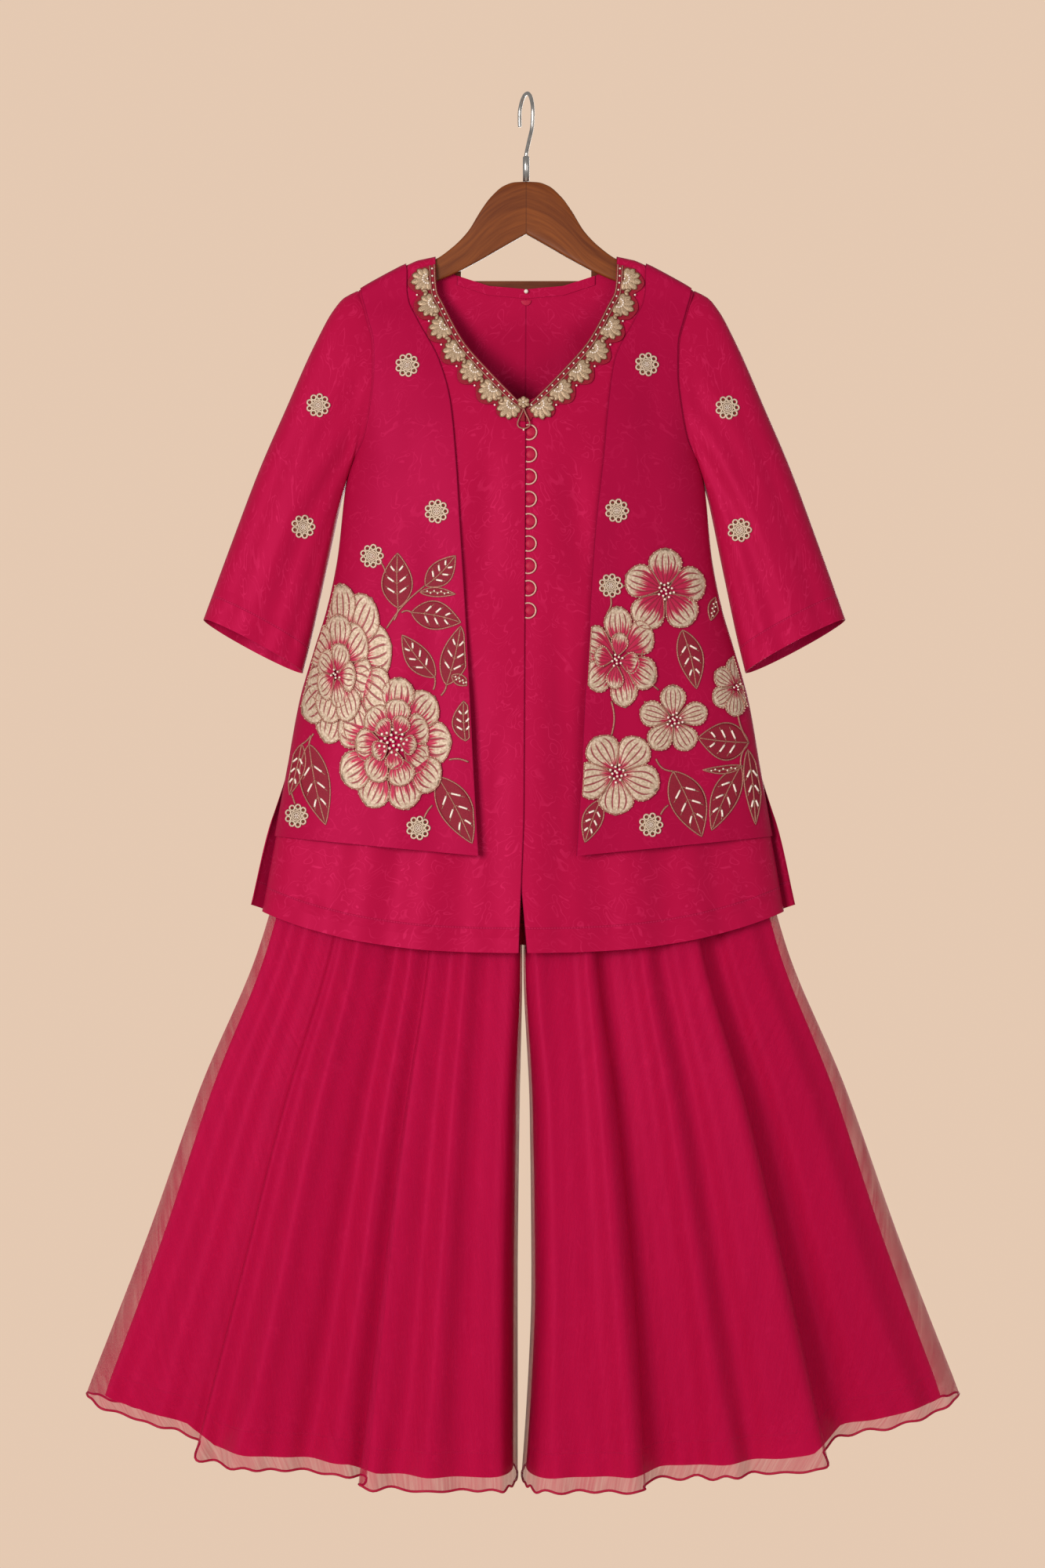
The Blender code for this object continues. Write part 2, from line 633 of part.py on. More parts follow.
def make_embroidery(jackets):
    """The raised flowers on the jacket fronts."""
    for name, side in SIDES:
        tree = surface_tree(jackets[name])
        rows = zip(*FLOWERS[name].values())
        for number, (x, z, wide, tall, petals, turn) in enumerate(rows):
            centre = (side * x + sway(z), z)
            make_flower(f"flower_{name}_{number + 1}", tree, centre, (wide, tall), petals, radians(turn))


def make_waist():
    """The palazzo's waistband, and the tapes that hang it over the hanger's arms."""
    count = 28
    angle = np.linspace(0, 2 * pi, count + 1)
    x = WAIST_HALF * np.sign(np.cos(angle)) * np.abs(np.cos(angle)) ** (2 / ROUND_X)
    y = WAIST_DEPTH * np.sign(np.sin(angle)) * np.abs(np.sin(angle)) ** (2 / ROUND_Y)
    rows = []
    for z in (WAIST_Z + WAISTBAND_HEIGHT, WAIST_Z + WAISTBAND_HEIGHT / 2, WAIST_Z + SEAM):
        rows.append(placed(1, x, y, np.full_like(x, z)))
    rows = np.array(rows)
    rows[:, -1] = rows[:, 0]
    cloth("waistband", rows, WAISTBAND_WALL, "satin", wrap=True)
    band_top = WAIST_Z + WAISTBAND_HEIGHT + SEAM
    f = TAPE_X / WAIST_HALF
    foot = WAIST_DEPTH * (1 - f**ROUND_X) ** (1 / ROUND_Y)
    bend = np.linspace(pi, 0, 7)
    lean = np.linspace(-TAPE_HALF_WIDTH, TAPE_HALF_WIDTH, 3) + TAPE_X
    top = np.interp(lean, HANGER_TOP["x"], HANGER_TOP["z"]) + 1.8 * SEAM + TAPE_THICKNESS / 2
    for name, side in SIDES:
        low, straight, near = band_top + 0 * top, TAPE_STRAIGHT_Z + 0 * top, top - TAPE_CREST * 0.9
        rows = [(-foot, low), (-TAPE_HALF_SPAN, straight), (-TAPE_HALF_SPAN, near)]
        rows += [(TAPE_HALF_SPAN * cos(a), top - TAPE_CREST * (1 - sin(a) ** 0.5)) for a in bend[1:-1]]
        rows += [(TAPE_HALF_SPAN, near), (TAPE_HALF_SPAN, straight), (foot, low)]
        points = []
        for y, z in rows:
            points.append(np.stack((side * lean, np.full_like(lean, y), z), axis=-1))
        cloth(f"hanging_tape_{name}", np.array(points), TAPE_THICKNESS, "tape")


def leg_row(row, s, name, face, layer):
    """One row of a leg's panel, from the centre or inseam (s = 0) to the side seam (s = 1).

    x = inner + (side - inner) * (s + tile * sin(a)), and y = -(depth * profile + puff * sin(a)),
    so that each fold's front layer reaches over the next one before the cloth turns back.
    """
    get = {key: col[row] for key, col in LEG_ROWS.items()}
    first, pitch = LEG_FOLDS[name, face]
    turn = acos(-pitch / (2 * pi * LEG_TILE))
    tip = first - LEG_TILE * sin(turn)
    fold = np.sin(turn + 2 * pi * (s - tip) / pitch) * (4 * s * (1 - s)) ** LEG_END_FADE
    tile, puff = LEG_TILE * get["tile"], get["puff"]
    side_x, depth, shorter = get["side_x"], get[face], 0.0
    if layer == "satin":
        tile, puff = SATIN_TILE * get["tile"], puff * SATIN_PUFF
        side_x, depth = side_x - get["in_x"], depth - get["in_y"]
        shorter = SATIN_SHORTER * min(1.0, (get["middle_z"] - WAIST_Z) / (LEG_HEM_Z - WAIST_Z))
    inner = get[name + "_x"] + (get["in_x"] * 0.25 if layer == "satin" else 0)
    x = inner + (side_x - inner) * (s + tile * fold)
    round_in = np.sqrt(1 - (1 - np.clip(s / LEG_ROUND_IN, 0, 1)) ** 2)
    profile = (1 - s**ROUND_X) ** (1 / ROUND_Y) * (1 - get["crotch"] * (1 - round_in))
    y = np.maximum(depth * profile + puff * fold, SIDE_HALF_GAP)
    z = get["middle_z"] + (get["side_z"] - get["middle_z"]) * s**LEG_HEM_CURVE + shorter
    return x, y, z


def even_steps(row, count, name, face, layer):
    """Values of s that are the same distance apart along the row."""
    fine = (1 - np.cos(np.linspace(0, pi, 4001))) / 2
    x, y, z = leg_row(row, fine, name, face, layer)
    length = np.concatenate(([0], np.cumsum(np.hypot(np.diff(x), np.diff(y)))))
    return np.interp(np.linspace(0, length[-1], count + 1), length, fine)


def make_legs():
    """Satin legs and the organza over them, each with a front and a back panel."""
    hem = len(LEG_ROWS["middle_z"]) - 1
    for name, side in SIDES:
        for face, facing in FACES:
            for layer, count in (("organza", ORGANZA_COLUMNS), ("satin", SATIN_COLUMNS)):
                s = even_steps(hem, count, name, face, layer)
                rows = []
                for row in range(hem + 1):
                    if layer == "satin" and row == hem - 1:
                        continue
                    x, y, z = leg_row(row, s, name, face, layer)
                    if layer == "organza" and row == hem:
                        wave = np.cos(pi * np.arange(count + 1)) * np.minimum(1, 40 * s * (1 - s))
                        z = z - RUFFLE_HEIGHT * wave
                        y = np.maximum(y + RUFFLE_DEPTH * wave, SIDE_HALF_GAP)
                    rows.append(placed(side, x, facing * y, z))
                thickness = SHEER if layer == "organza" else CLOTH
                cloth(f"{layer}_{face}_{name}", np.array(rows), thickness, layer)


def mesh_of(made):
    """A curve object's mesh, with its caps welded; the curve is removed."""
    bpy.context.view_layer.update()
    solid = bpy.data.meshes.new_from_object(made.evaluated_get(bpy.context.evaluated_depsgraph_get()))
    bm = bmesh.new()
    bm.from_mesh(solid)
    bmesh.ops.remove_doubles(bm, verts=bm.verts, dist=WELD)
    bm.to_mesh(solid)
    bm.free()
    solid.transform(made.matrix_world)
    bpy.data.objects.remove(made)
    return solid


def flat_piece(name, outline, half_thickness):
    """A flat outline in the XZ plane, extruded along Y, as a curve object."""
    curve = bpy.data.curves.new(name, "CURVE")
    curve.dimensions = "2D"
    curve.fill_mode = "BOTH"
    curve.extrude = half_thickness
    spline = curve.splines.new("POLY")
    spline.points.add(len(outline) - 1)
    for point, (x, z) in zip(spline.points, outline):
        point.co = (x, z, 0, 1)
    spline.use_cyclic_u = True
    made = bpy.data.objects.new(name, curve)
    made.rotation_euler = (pi / 2, 0, 0)
    SUIT.objects.link(made)
    return made


def make_hanger():
    """The wooden body, the steel hook with its ferrule, and the bar behind the back neck."""
    top = list(zip(HANGER_TOP["x"], HANGER_TOP["z"]))
    under = list(zip(HANGER_UNDER["x"], HANGER_UNDER["z"]))
    right = top + under[::-1]
    left = [(-x, z) for x, z in right[::-1] if x > 0]
    body = mesh_of(flat_piece("hanger_outline", right + left, HANGER_HALF_THICKNESS))
    made = add_object("hanger_wood", body, "wood")
    bevel = made.modifiers.new("rounding", "BEVEL")
    bevel.width = HANGER_ROUNDING
    bevel.segments = 2
    bevel.limit_method = "ANGLE"
    bevel.angle_limit = radians(60)
    bevel.use_clamp_overlap = False
    low, wide = LUG_WIDTH, BAR_HALF_LENGTH
    bar_outline = [
        (wide, LUG_TOP),
        (wide, BAR_BOTTOM),
        (-wide, BAR_BOTTOM),
        (-wide, LUG_TOP),
        (low - wide, LUG_TOP),
        (low - wide, BAR_TOP),
        (wide - low, BAR_TOP),
        (wide - low, LUG_TOP),
    ]
    bar = mesh_of(flat_piece("bar_outline", bar_outline[::-1], (BAR_BACK - BAR_FRONT) / 2))
    bar.transform(Matrix.Translation((0, (BAR_BACK + BAR_FRONT) / 2, 0)))
    made = add_object("hanger_bar", bar, "wood")
    peg_start = HANGER_HALF_THICKNESS + SEAM
    peg_end = BAR_FRONT + JOIN_DEPTH
    for name, side in SIDES:
        peg = cylinder(f"peg_{name}", PEG_RADIUS, peg_end - peg_start, 16)
        peg.transform(Y_UP.to_4x4())
        peg.transform(Matrix.Translation((side * (wide - low / 2), (peg_end + peg_start) / 2, PEG_Z)))
        join(made, f"peg_{name}", peg)
    path = np.stack(tuple(HOOK_PATH.values()), axis=-1)
    place = np.linspace(0, len(path) - 1, 2 * (len(path) - 1) + 1)
    hook = make_cord("hook_wire", smooth_path(path, place), "steel")
    hook.data.bevel_depth = HOOK_RADIUS
    hook.data.bevel_resolution = 2
    wire = mesh_of(hook)
    made = add_object("hanger_hook", wire, "steel")
    neck = HANGER_TOP["z"][0] + SEAM
    ferrule = cylinder("ferrule", FERRULE_RADIUS, FERRULE_TOP - neck, 16)
    ferrule.transform(Matrix.Translation((0, 0, (FERRULE_TOP + neck) / 2)))
    join(made, "ferrule", ferrule)


def join(made, name, mesh):
    """Joins a mesh to an object with a Boolean; the mesh's object stays with the cutters."""
    cutter = bpy.data.objects.new(name, mesh)
    CUTTERS.objects.link(cutter)
    cutter.hide_render = True
    cutter.display_type = "WIRE"
    union = made.modifiers.new(name, "BOOLEAN")
    union.operation = "UNION"
    union.solver = "EXACT"
    union.object = cutter


def smooth_path(points, place):
    """Catmull-Rom curve through the points, read at the places given."""
    ends = np.vstack((2 * points[0] - points[1], points, 2 * points[-1] - points[-2]))
    whole = np.minimum(place.astype(int), len(points) - 2)
    t = (place - whole)[:, None]
    a, b, c, d = (ends[whole + step] for step in range(4))
    return 0.5 * (2 * b + (c - a) * t + (2 * a - 5 * b + 4 * c - d) * t**2 + (3 * b - a - 3 * c + d) * t**3)


def cylinder(name, radius, length, segments):
    """A capped cylinder about Z, centred on the origin."""
    mesh = bpy.data.meshes.new(name)
    bm = bmesh.new()
    bmesh.ops.create_cone(
        bm, cap_ends=True, segments=segments, radius1=radius, radius2=radius, depth=length
    )
    bm.to_mesh(mesh)
    bm.free()
    return mesh


def make_back_fastening():
    """The pearl button and the half-moon tab inside the back neck."""
    inside = BODY["back"][0] - CLOTH - SEAM - CLOTH / 2
    centre = (0, inside - SEAM - PEARL_RADIUS, PEARL_Z)
    make_ball("back_button", centre, (PEARL_RADIUS,) * 3, "pearl", 12, 8)
    arc = [(TAB_RADIUS * cos(a), TAB_Z + TAB_RADIUS * sin(a)) for a in np.linspace(0, -pi, 10)]
    tab = mesh_of(flat_piece("tab_outline", arc, TAB_THICKNESS / 2))
    wall = BODY["back"][0] - CLOTH / 2
    tab.transform(Matrix.Translation((0, wall - SEAM - TAB_THICKNESS / 2, 0)))
    add_object("back_tab", tab, "satin")


def main():
    """Builds every piece of the suit and its hanger."""
    make_hanger()
    fronts = make_tunic()
    make_sleeves()
    make_neck(fronts)
    jackets = make_jackets()
    make_buttons(fronts)
    make_embroidery(jackets)
    make_back_fastening()
    make_waist()
    make_legs()


for old in list(bpy.data.objects):
    bpy.data.objects.remove(old)
SUIT = bpy.data.collections.new("palazzo_suit")
CUTTERS = bpy.data.collections.new("cutters")
bpy.context.scene.collection.children.link(SUIT)
bpy.context.scene.collection.children.link(CUTTERS)
MATERIALS = make_materials()
main()
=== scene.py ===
"""The dressed palazzo suit: cloth, embroidery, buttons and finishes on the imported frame.

Metres, +Z up, the front faces -Y. "left" is the viewer's left, at -X.
Every surface is a grid of points worked out with numpy from the tables below.
In the cloth tables x is counted from the garment's centre line and is the same on both sides.
"""

from math import acos, pi, radians

import bmesh
import bpy
import numpy as np
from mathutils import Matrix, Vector
from mathutils.bvhtree import BVHTree


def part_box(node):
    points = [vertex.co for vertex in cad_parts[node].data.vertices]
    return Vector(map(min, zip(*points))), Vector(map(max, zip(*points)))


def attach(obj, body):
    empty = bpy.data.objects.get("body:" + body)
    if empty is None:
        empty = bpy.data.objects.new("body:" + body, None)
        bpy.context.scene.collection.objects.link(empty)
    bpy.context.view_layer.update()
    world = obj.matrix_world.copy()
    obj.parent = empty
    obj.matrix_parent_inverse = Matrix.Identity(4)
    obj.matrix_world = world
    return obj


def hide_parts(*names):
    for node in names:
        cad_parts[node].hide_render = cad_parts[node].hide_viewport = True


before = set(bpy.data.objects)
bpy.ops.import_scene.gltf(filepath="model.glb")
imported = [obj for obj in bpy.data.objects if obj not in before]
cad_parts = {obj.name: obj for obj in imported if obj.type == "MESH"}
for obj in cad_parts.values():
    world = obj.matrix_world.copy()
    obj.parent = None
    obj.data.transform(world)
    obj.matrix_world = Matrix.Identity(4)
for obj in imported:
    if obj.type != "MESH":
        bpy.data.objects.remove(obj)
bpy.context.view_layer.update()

CLOTH = 0.0012
SHEER = 0.0010
SEAM = 0.0003
SIDE_HALF_GAP = 0.0006
SIDES = (("left", -1), ("right", 1))
FACES = (("front", -1), ("back", 1))
FINE_STEP = 0.0004
WELD = 0.000002
ROW_STEP = 0.0070
LEG_ROW_STEP = 0.011

SHOULDER_TOP = -0.173
TUNIC_HEM = -0.916
SWAY = -0.0035
RIDGE = 0.0050
RIDGE_DROPS = (0.0, 0.0007, 0.0025, 0.0060)
ROUND_X = 2.2
ROUND_Y = 1.8
SIDE_CROWDING = 0.909
LAP = 0.010
LAP_TUCK = 0.0030
LAP_FADE = 0.034
V_POINT = -0.338
SLEEVE_START = 0.0010
UNDERARM_CLEAR = 0.0024
SLEEVE_TUCK = 0.0040
SLEEVE_UNDER = 0.0016
CUFF_HALF_DEPTH = 0.026
CUFF_TILT = 0.0055
JACKET_INNER_TOP = 0.1275
JACKET_EDGE_LIFT = 0.0020
JACKET_ARMHOLE_INSET = 0.0024
JACKET_CLEAR = 0.0018
UNDERARM_Z = -0.402

BAND_SCALLOPS = 7
BAND_SCALLOP_DEPTH = 0.36
FACING_HALF = 0.0740
FACING_HEIGHT = 0.010

LEG_TILE = 0.085
LEG_END_FADE = 1.0
LEG_ROUND_IN = 0.08
LEG_HEM_CURVE = 2.5
SATIN_TILE = 0.030
SATIN_PUFF = 0.30
SATIN_SHORTER = 0.017
SATIN_ABOVE = 0.0085
WAIST_Z = -0.500
LEG_HEM_Z = -1.477
WAISTBAND_HEIGHT = 0.040
WAISTBAND_WALL = 0.0016
WAIST_HALF = 0.160
WAIST_DEPTH = 0.022
TAPE_X = 0.120
TAPE_HALF_WIDTH = 0.004
TAPE_THICKNESS = 0.0010
TAPE_HALF_SPAN = 0.0056
TAPE_STRAIGHT_Z = -0.2600
TAPE_CREST = 0.0030

RUFFLE_LENGTH = 0.033
RUFFLE_HEIGHT = 0.0017
RUFFLE_DEPTH = 0.0032
RUFFLE_RISE = 0.055
ROLLED_EDGE = 0.0013
FLUTES = 31.0
FLUTE_DEPTH = 0.031
SIDE_DRIFT = 5.1
BACK_DRIFT = 2.3
SECOND_FLUTE = 0.45
SECOND_FLUTE_RATE = 1.9
ORGANZA_FLUTE_SHARE = 0.85
TUNIC_FOLD_GAIN = 2.1
JACKET_FOLD_GAIN = 1.5

WOOD_REACH = 0.1690
WOOD_END_START = 0.1600
WOOD_HALF_DEPTH = 0.0046
HOOK_RADIUS = 0.0020
FERRULE_RADIUS = 0.0035
FERRULE_TOP = -0.0650
FERRULE_FOOT = -0.0919
FLOOR_Z = -1.780
SEAM_SHADE = 0.55
SEAM_SHADE_WIDTH = 0.0004
SEAM_SHADE_FADE = 0.0008
SEAM_SHADE_TONE = 0.4


def table(names, *rows):
    """A short table, as a dictionary from a column's name to its numbers."""
    return dict(zip(names.split(), np.array(rows, dtype=float).T))


SHOULDER = table(
    "x z",
    (0.0970, -0.1730),
    (0.1165, -0.1772),
    (0.1335, -0.1848),
    (0.1480, -0.1924),
    (0.1800, -0.2100),
)
# edge and back_edge: the panels' outer edges. round: where the section would reach the middle plane.
# front and back: depth at the centre line. brim: depth at the outer edge.
BODY = table(
    "z edge back_edge round front back brim",
    (-0.1700, 0.1800, 0.1800, 0.2000, 0.0074, 0.0074, 0.00740),
    (-0.2180, 0.1780, 0.1780, 0.1980, 0.0110, 0.0074, 0.00740),
    (-0.2400, 0.1710, 0.1710, 0.1900, 0.0180, 0.0100, 0.00740),
    (-0.2690, 0.1640, 0.1640, 0.1800, 0.0260, 0.0180, 0.00800),
    (-0.3000, 0.1635, 0.1635, 0.1775, 0.0340, 0.0240, 0.00800),
    (-0.3400, 0.1680, 0.1680, 0.1780, 0.0400, 0.0300, 0.00700),
    (-0.3680, 0.1735, 0.1735, 0.1795, 0.0430, 0.0330, 0.00500),
    (-0.3900, 0.1800, 0.1800, 0.1825, 0.0445, 0.0345, 0.00200),
    (-0.4020, 0.1870, 0.1870, 0.1870, 0.0450, 0.0350, 0.00015),
    (-0.4980, 0.1985, 0.1985, 0.1985, 0.0470, 0.0380, 0.00015),
    (-0.5490, 0.2090, 0.2090, 0.2090, 0.0480, 0.0390, 0.00015),
    (-0.5950, 0.2230, 0.2230, 0.2230, 0.0490, 0.0400, 0.00015),
    (-0.6500, 0.2385, 0.2385, 0.2385, 0.0505, 0.0420, 0.00015),
    (-0.7200, 0.2510, 0.2520, 0.2520, 0.0525, 0.0440, 0.00015),
    (-0.7930, 0.2645, 0.2745, 0.2745, 0.0545, 0.0460, 0.00015),
    (-0.8740, 0.2790, 0.2925, 0.2925, 0.0580, 0.0490, 0.00015),
    (-0.9190, 0.2870, 0.3000, 0.3000, 0.0600, 0.0500, 0.00015),
)
# bend: how the row curves from its middle to its side, 1 for straight.
FRONT_ROWS = table(
    "left_x right_x middle_z side_z bend",
    (0.0960, 0.0960, -0.1990, -0.2400, 1.0),
    (0.0945, 0.0945, -0.2110, -0.2690, 1.0),
    (0.0870, 0.0870, -0.2270, -0.3000, 1.0),
    (0.0660, 0.0660, -0.2660, -0.3400, 1.0),
    (0.0385, 0.0385, -0.2985, -0.3680, 1.0),
    (0.0108, 0.0108, -0.3275, -0.3900, 1.0),
    (-0.0002, -LAP, V_POINT, -0.4020, 1.0),
    (-0.0002, -LAP, -0.4400, -0.4980, 1.2),
    (-0.0002, -LAP, -0.5200, -0.5490, 1.6),
    (-0.0002, -LAP, -0.6300, -0.6400, 2.0),
    (-0.0002, -LAP, -0.7550, -0.7300, 2.6),
    (0.0020, -0.0030, -0.8350, -0.8050, 2.6),
    (0.0045, 0.0045, TUNIC_HEM, -0.8740, 2.6),
)
BACK_ROWS = table(
    "left_x right_x middle_z side_z bend",
    (0.0740, 0.0740, -0.1920, -0.2300, 1.0),
    (0.0400, 0.0400, -0.2030, -0.2550, 1.0),
    (SEAM / 2, SEAM / 2, -0.2065, -0.2700, 1.0),
    (SEAM / 2, SEAM / 2, -0.2150, -0.2870, 1.0),
    (SEAM / 2, SEAM / 2, -0.2600, -0.3200, 1.0),
    (SEAM / 2, SEAM / 2, -0.3300, -0.3680, 1.0),
    (SEAM / 2, SEAM / 2, -0.3750, -0.3900, 1.0),
    (SEAM / 2, SEAM / 2, -0.4020, -0.4020, 1.0),
    (SEAM / 2, SEAM / 2, -0.4900, -0.4980, 1.2),
    (SEAM / 2, SEAM / 2, -0.5950, -0.5950, 1.6),
    (SEAM / 2, SEAM / 2, -0.7300, -0.7200, 2.0),
    (SEAM / 2, SEAM / 2, -0.8200, -0.7930, 2.6),
    (SEAM / 2, SEAM / 2, -0.9120, -0.8670, 2.6),
)
# lift: how far the jacket front stands off the tunic at its free edge.
JACKET_ROWS = table(
    "left_x right_x middle_z side_z bend lift",
    (0.1275, 0.1275, -0.2070, -0.2400, 1.0, 0.0020),
    (0.1255, 0.1255, -0.2220, -0.2690, 1.0, 0.0020),
    (0.1145, 0.1145, -0.2450, -0.3000, 1.0, 0.0020),
    (0.0925, 0.0945, -0.2860, -0.3400, 1.0, 0.0022),
    (0.0800, 0.0880, -0.3300, -0.3680, 1.0, 0.0030),
    (0.0735, 0.0825, -0.3900, -0.4020, 1.0, 0.0040),
    (0.0680, 0.0740, -0.4700, -0.4980, 1.2, 0.0052),
    (0.0625, 0.0690, -0.5500, -0.5490, 1.6, 0.0064),
    (0.0570, 0.0640, -0.6450, -0.6400, 2.0, 0.0076),
    (0.0520, 0.0600, -0.7350, -0.7300, 2.0, 0.0088),
    (0.0470, 0.0555, -0.8138, -0.7935, 1.0, 0.0100),
)
# round: 0 has the armhole's section, 1 the cuff's.
SLEEVE_ROWS = table(
    "outer_x outer_z inner_x inner_z round",
    (0.1810, -0.2100, 0.1904, -0.4020, 0.00),
    (0.1945, -0.2170, 0.1920, -0.4110, 0.12),
    (0.2070, -0.2320, 0.1945, -0.4230, 0.30),
    (0.2275, -0.2710, 0.2005, -0.4500, 0.60),
    (0.2560, -0.3360, 0.2095, -0.4930, 0.90),
    (0.2840, -0.4010, 0.2180, -0.5330, 1.00),
    (0.3140, -0.4810, 0.2275, -0.5770, 1.00),
    (0.3435, -0.5620, 0.2375, -0.6180, 1.00),
)
BAND_ROWS = table(
    "inner_x inner_z outer_x outer_z",
    (0.0968, -0.1820, 0.1270, -0.1895),
    (0.0960, -0.1990, 0.1262, -0.2060),
    (0.0945, -0.2110, 0.1240, -0.2210),
    (0.0870, -0.2270, 0.1130, -0.2440),
    (0.0660, -0.2660, 0.0910, -0.2850),
    (0.0385, -0.2985, 0.0610, -0.3200),
    (0.0108, -0.3275, 0.0290, -0.3470),
    (0.0008, -0.3385, 0.0008, -0.3535),
)
BACK_NECK = table(
    "x z",
    (0.0000, -0.2065),
    (0.0400, -0.2030),
    (0.0740, -0.1920),
)
# crotch: 0 above it, 1 where each leg is a tube. tile and puff: size of the folds.
# in_x and in_y: how far the satin lies inside the organza. left_x and right_x: the inseam.
LEG_ROWS = table(
    "middle_z side_z side_x left_x right_x front back crotch tile puff in_x in_y",
    (-0.500, -0.500, 0.1600, 0.0007, 0.0007, 0.022, 0.022, 0.0, 0.00, 0.000, 0.002, 0.004),
    (-0.640, -0.630, 0.2000, 0.0007, 0.0007, 0.030, 0.028, 0.0, 0.20, 0.001, 0.003, 0.006),
    (-0.790, -0.775, 0.2440, 0.0007, 0.0007, 0.036, 0.033, 0.0, 0.50, 0.002, 0.006, 0.008),
    (-0.930, -0.915, 0.2830, 0.0010, 0.0010, 0.046, 0.042, 0.5, 0.80, 0.004, 0.009, 0.012),
    (-1.090, -1.060, 0.3440, 0.0040, 0.0078, 0.074, 0.070, 1.0, 0.92, 0.008, 0.013, 0.021),
    (-1.275, -1.225, 0.4030, 0.0060, 0.0095, 0.095, 0.092, 1.0, 0.97, 0.010, 0.017, 0.026),
    (-1.458, -1.374, 0.4610, 0.0060, 0.0005, 0.109, 0.109, 1.0, 1.00, 0.012, 0.020, 0.031),
    (-1.477, -1.390, 0.4670, 0.0060, -0.0010, 0.110, 0.110, 1.0, 1.00, 0.012, 0.020, 0.032),
)
# first and pitch: the first fold's tip and the folds' spacing, as parts of the leg's half width.
LEG_FOLDS = {
    ("left", "front"): (0.367, 0.376),
    ("right", "front"): (0.285, 0.405),
    ("left", "back"): (0.310, 0.390),
    ("right", "back"): (0.350, 0.370),
}
HANGER_TOP = table(
    "x z",
    (0.0000, -0.0922),
    (0.0120, -0.0928),
    (0.0237, -0.0966),
    (0.0379, -0.1088),
    (0.0484, -0.1230),
    (0.0626, -0.1459),
    (0.0802, -0.1636),
    (0.0979, -0.1757),
    (0.1165, -0.1816),
    (0.1335, -0.1889),
    (0.1480, -0.1966),
    (0.1640, -0.2048),
    (0.1680, -0.2080),
)
HANGER_UNDER = table(
    "x z",
    (0.0000, -0.1484),
    (0.0237, -0.1618),
    (0.0484, -0.1760),
    (0.0750, -0.1900),
    (0.0960, -0.1989),
    (0.1300, -0.2120),
    (0.1500, -0.2210),
    (0.1620, -0.2270),
    (0.1665, -0.2255),
    (0.1690, -0.2180),
)
HOOK_PATH = table(
    "x y z",
    (0.0000, 0.0000, -0.0660),
    (0.0006, -0.0010, -0.0600),
    (0.0030, -0.0080, -0.0500),
    (0.0060, -0.0160, -0.0380),
    (0.0070, -0.0190, -0.0250),
    (0.0068, -0.0190, -0.0140),
    (0.0048, -0.0145, -0.0040),
    (0.0022, -0.0075, 0.0010),
    (0.0000, 0.0000, 0.0020),
    (-0.0022, 0.0075, 0.0010),
    (-0.0048, 0.0145, -0.0040),
    (-0.0068, 0.0188, -0.0130),
    (-0.0070, 0.0196, -0.0230),
    (-0.0068, 0.0200, -0.0300),
)
# Soft troughs pressed into the cloth. trough: depth of the dent, less than 0 for a ridge.
# x0 z0 is where it starts, x1 z1 where it ends, bow its sideways bend, open 1 if it runs out at the hem.
TUNIC_FOLDS = table(
    "x0 z0 x1 z1 width trough bow open",
    (-0.060, -0.560, -0.075, -0.920, 0.0200, 0.0030, 0.004, 1),
    (-0.115, -0.600, -0.150, -0.915, 0.0170, 0.0034, 0.006, 1),
    (-0.165, -0.640, -0.215, -0.905, 0.0150, 0.0028, -0.004, 1),
    (-0.205, -0.700, -0.260, -0.890, 0.0120, 0.0020, 0.003, 1),
    (-0.025, -0.640, -0.034, -0.920, 0.0110, 0.0016, -0.003, 1),
    (-0.040, -0.360, -0.050, -0.560, 0.0140, 0.0016, 0.003, 0),
    (0.070, -0.540, 0.083, -0.920, 0.0210, 0.0032, -0.004, 1),
    (0.120, -0.620, 0.150, -0.915, 0.0160, 0.0030, 0.005, 1),
    (0.170, -0.650, 0.212, -0.905, 0.0150, 0.0030, 0.004, 1),
    (0.200, -0.720, 0.248, -0.890, 0.0110, 0.0018, -0.003, 1),
    (0.032, -0.500, 0.036, -0.920, 0.0120, 0.0020, 0.003, 1),
    (0.050, -0.370, 0.060, -0.540, 0.0130, 0.0018, -0.003, 0),
)
BACK_FOLDS = table(
    "x0 z0 x1 z1 width trough bow open",
    (-0.060, -0.420, -0.090, -0.910, 0.0220, 0.0034, 0.006, 1),
    (-0.130, -0.500, -0.180, -0.900, 0.0180, 0.0030, -0.005, 1),
    (-0.185, -0.640, -0.250, -0.880, 0.0140, 0.0024, 0.004, 1),
    (-0.050, -0.230, -0.040, -0.340, 0.0130, 0.0016, 0.002, 0),
    (0.055, -0.450, 0.070, -0.910, 0.0200, 0.0030, -0.005, 1),
    (0.120, -0.480, 0.165, -0.900, 0.0190, 0.0034, 0.005, 1),
    (0.180, -0.600, 0.245, -0.880, 0.0140, 0.0022, -0.003, 1),
    (0.045, -0.225, 0.052, -0.330, 0.0120, 0.0014, -0.002, 0),
    (0.130, -0.260, 0.110, -0.420, 0.0160, 0.0018, 0.006, 0),
    (-0.130, -0.250, -0.105, -0.410, 0.0150, 0.0018, -0.006, 0),
)
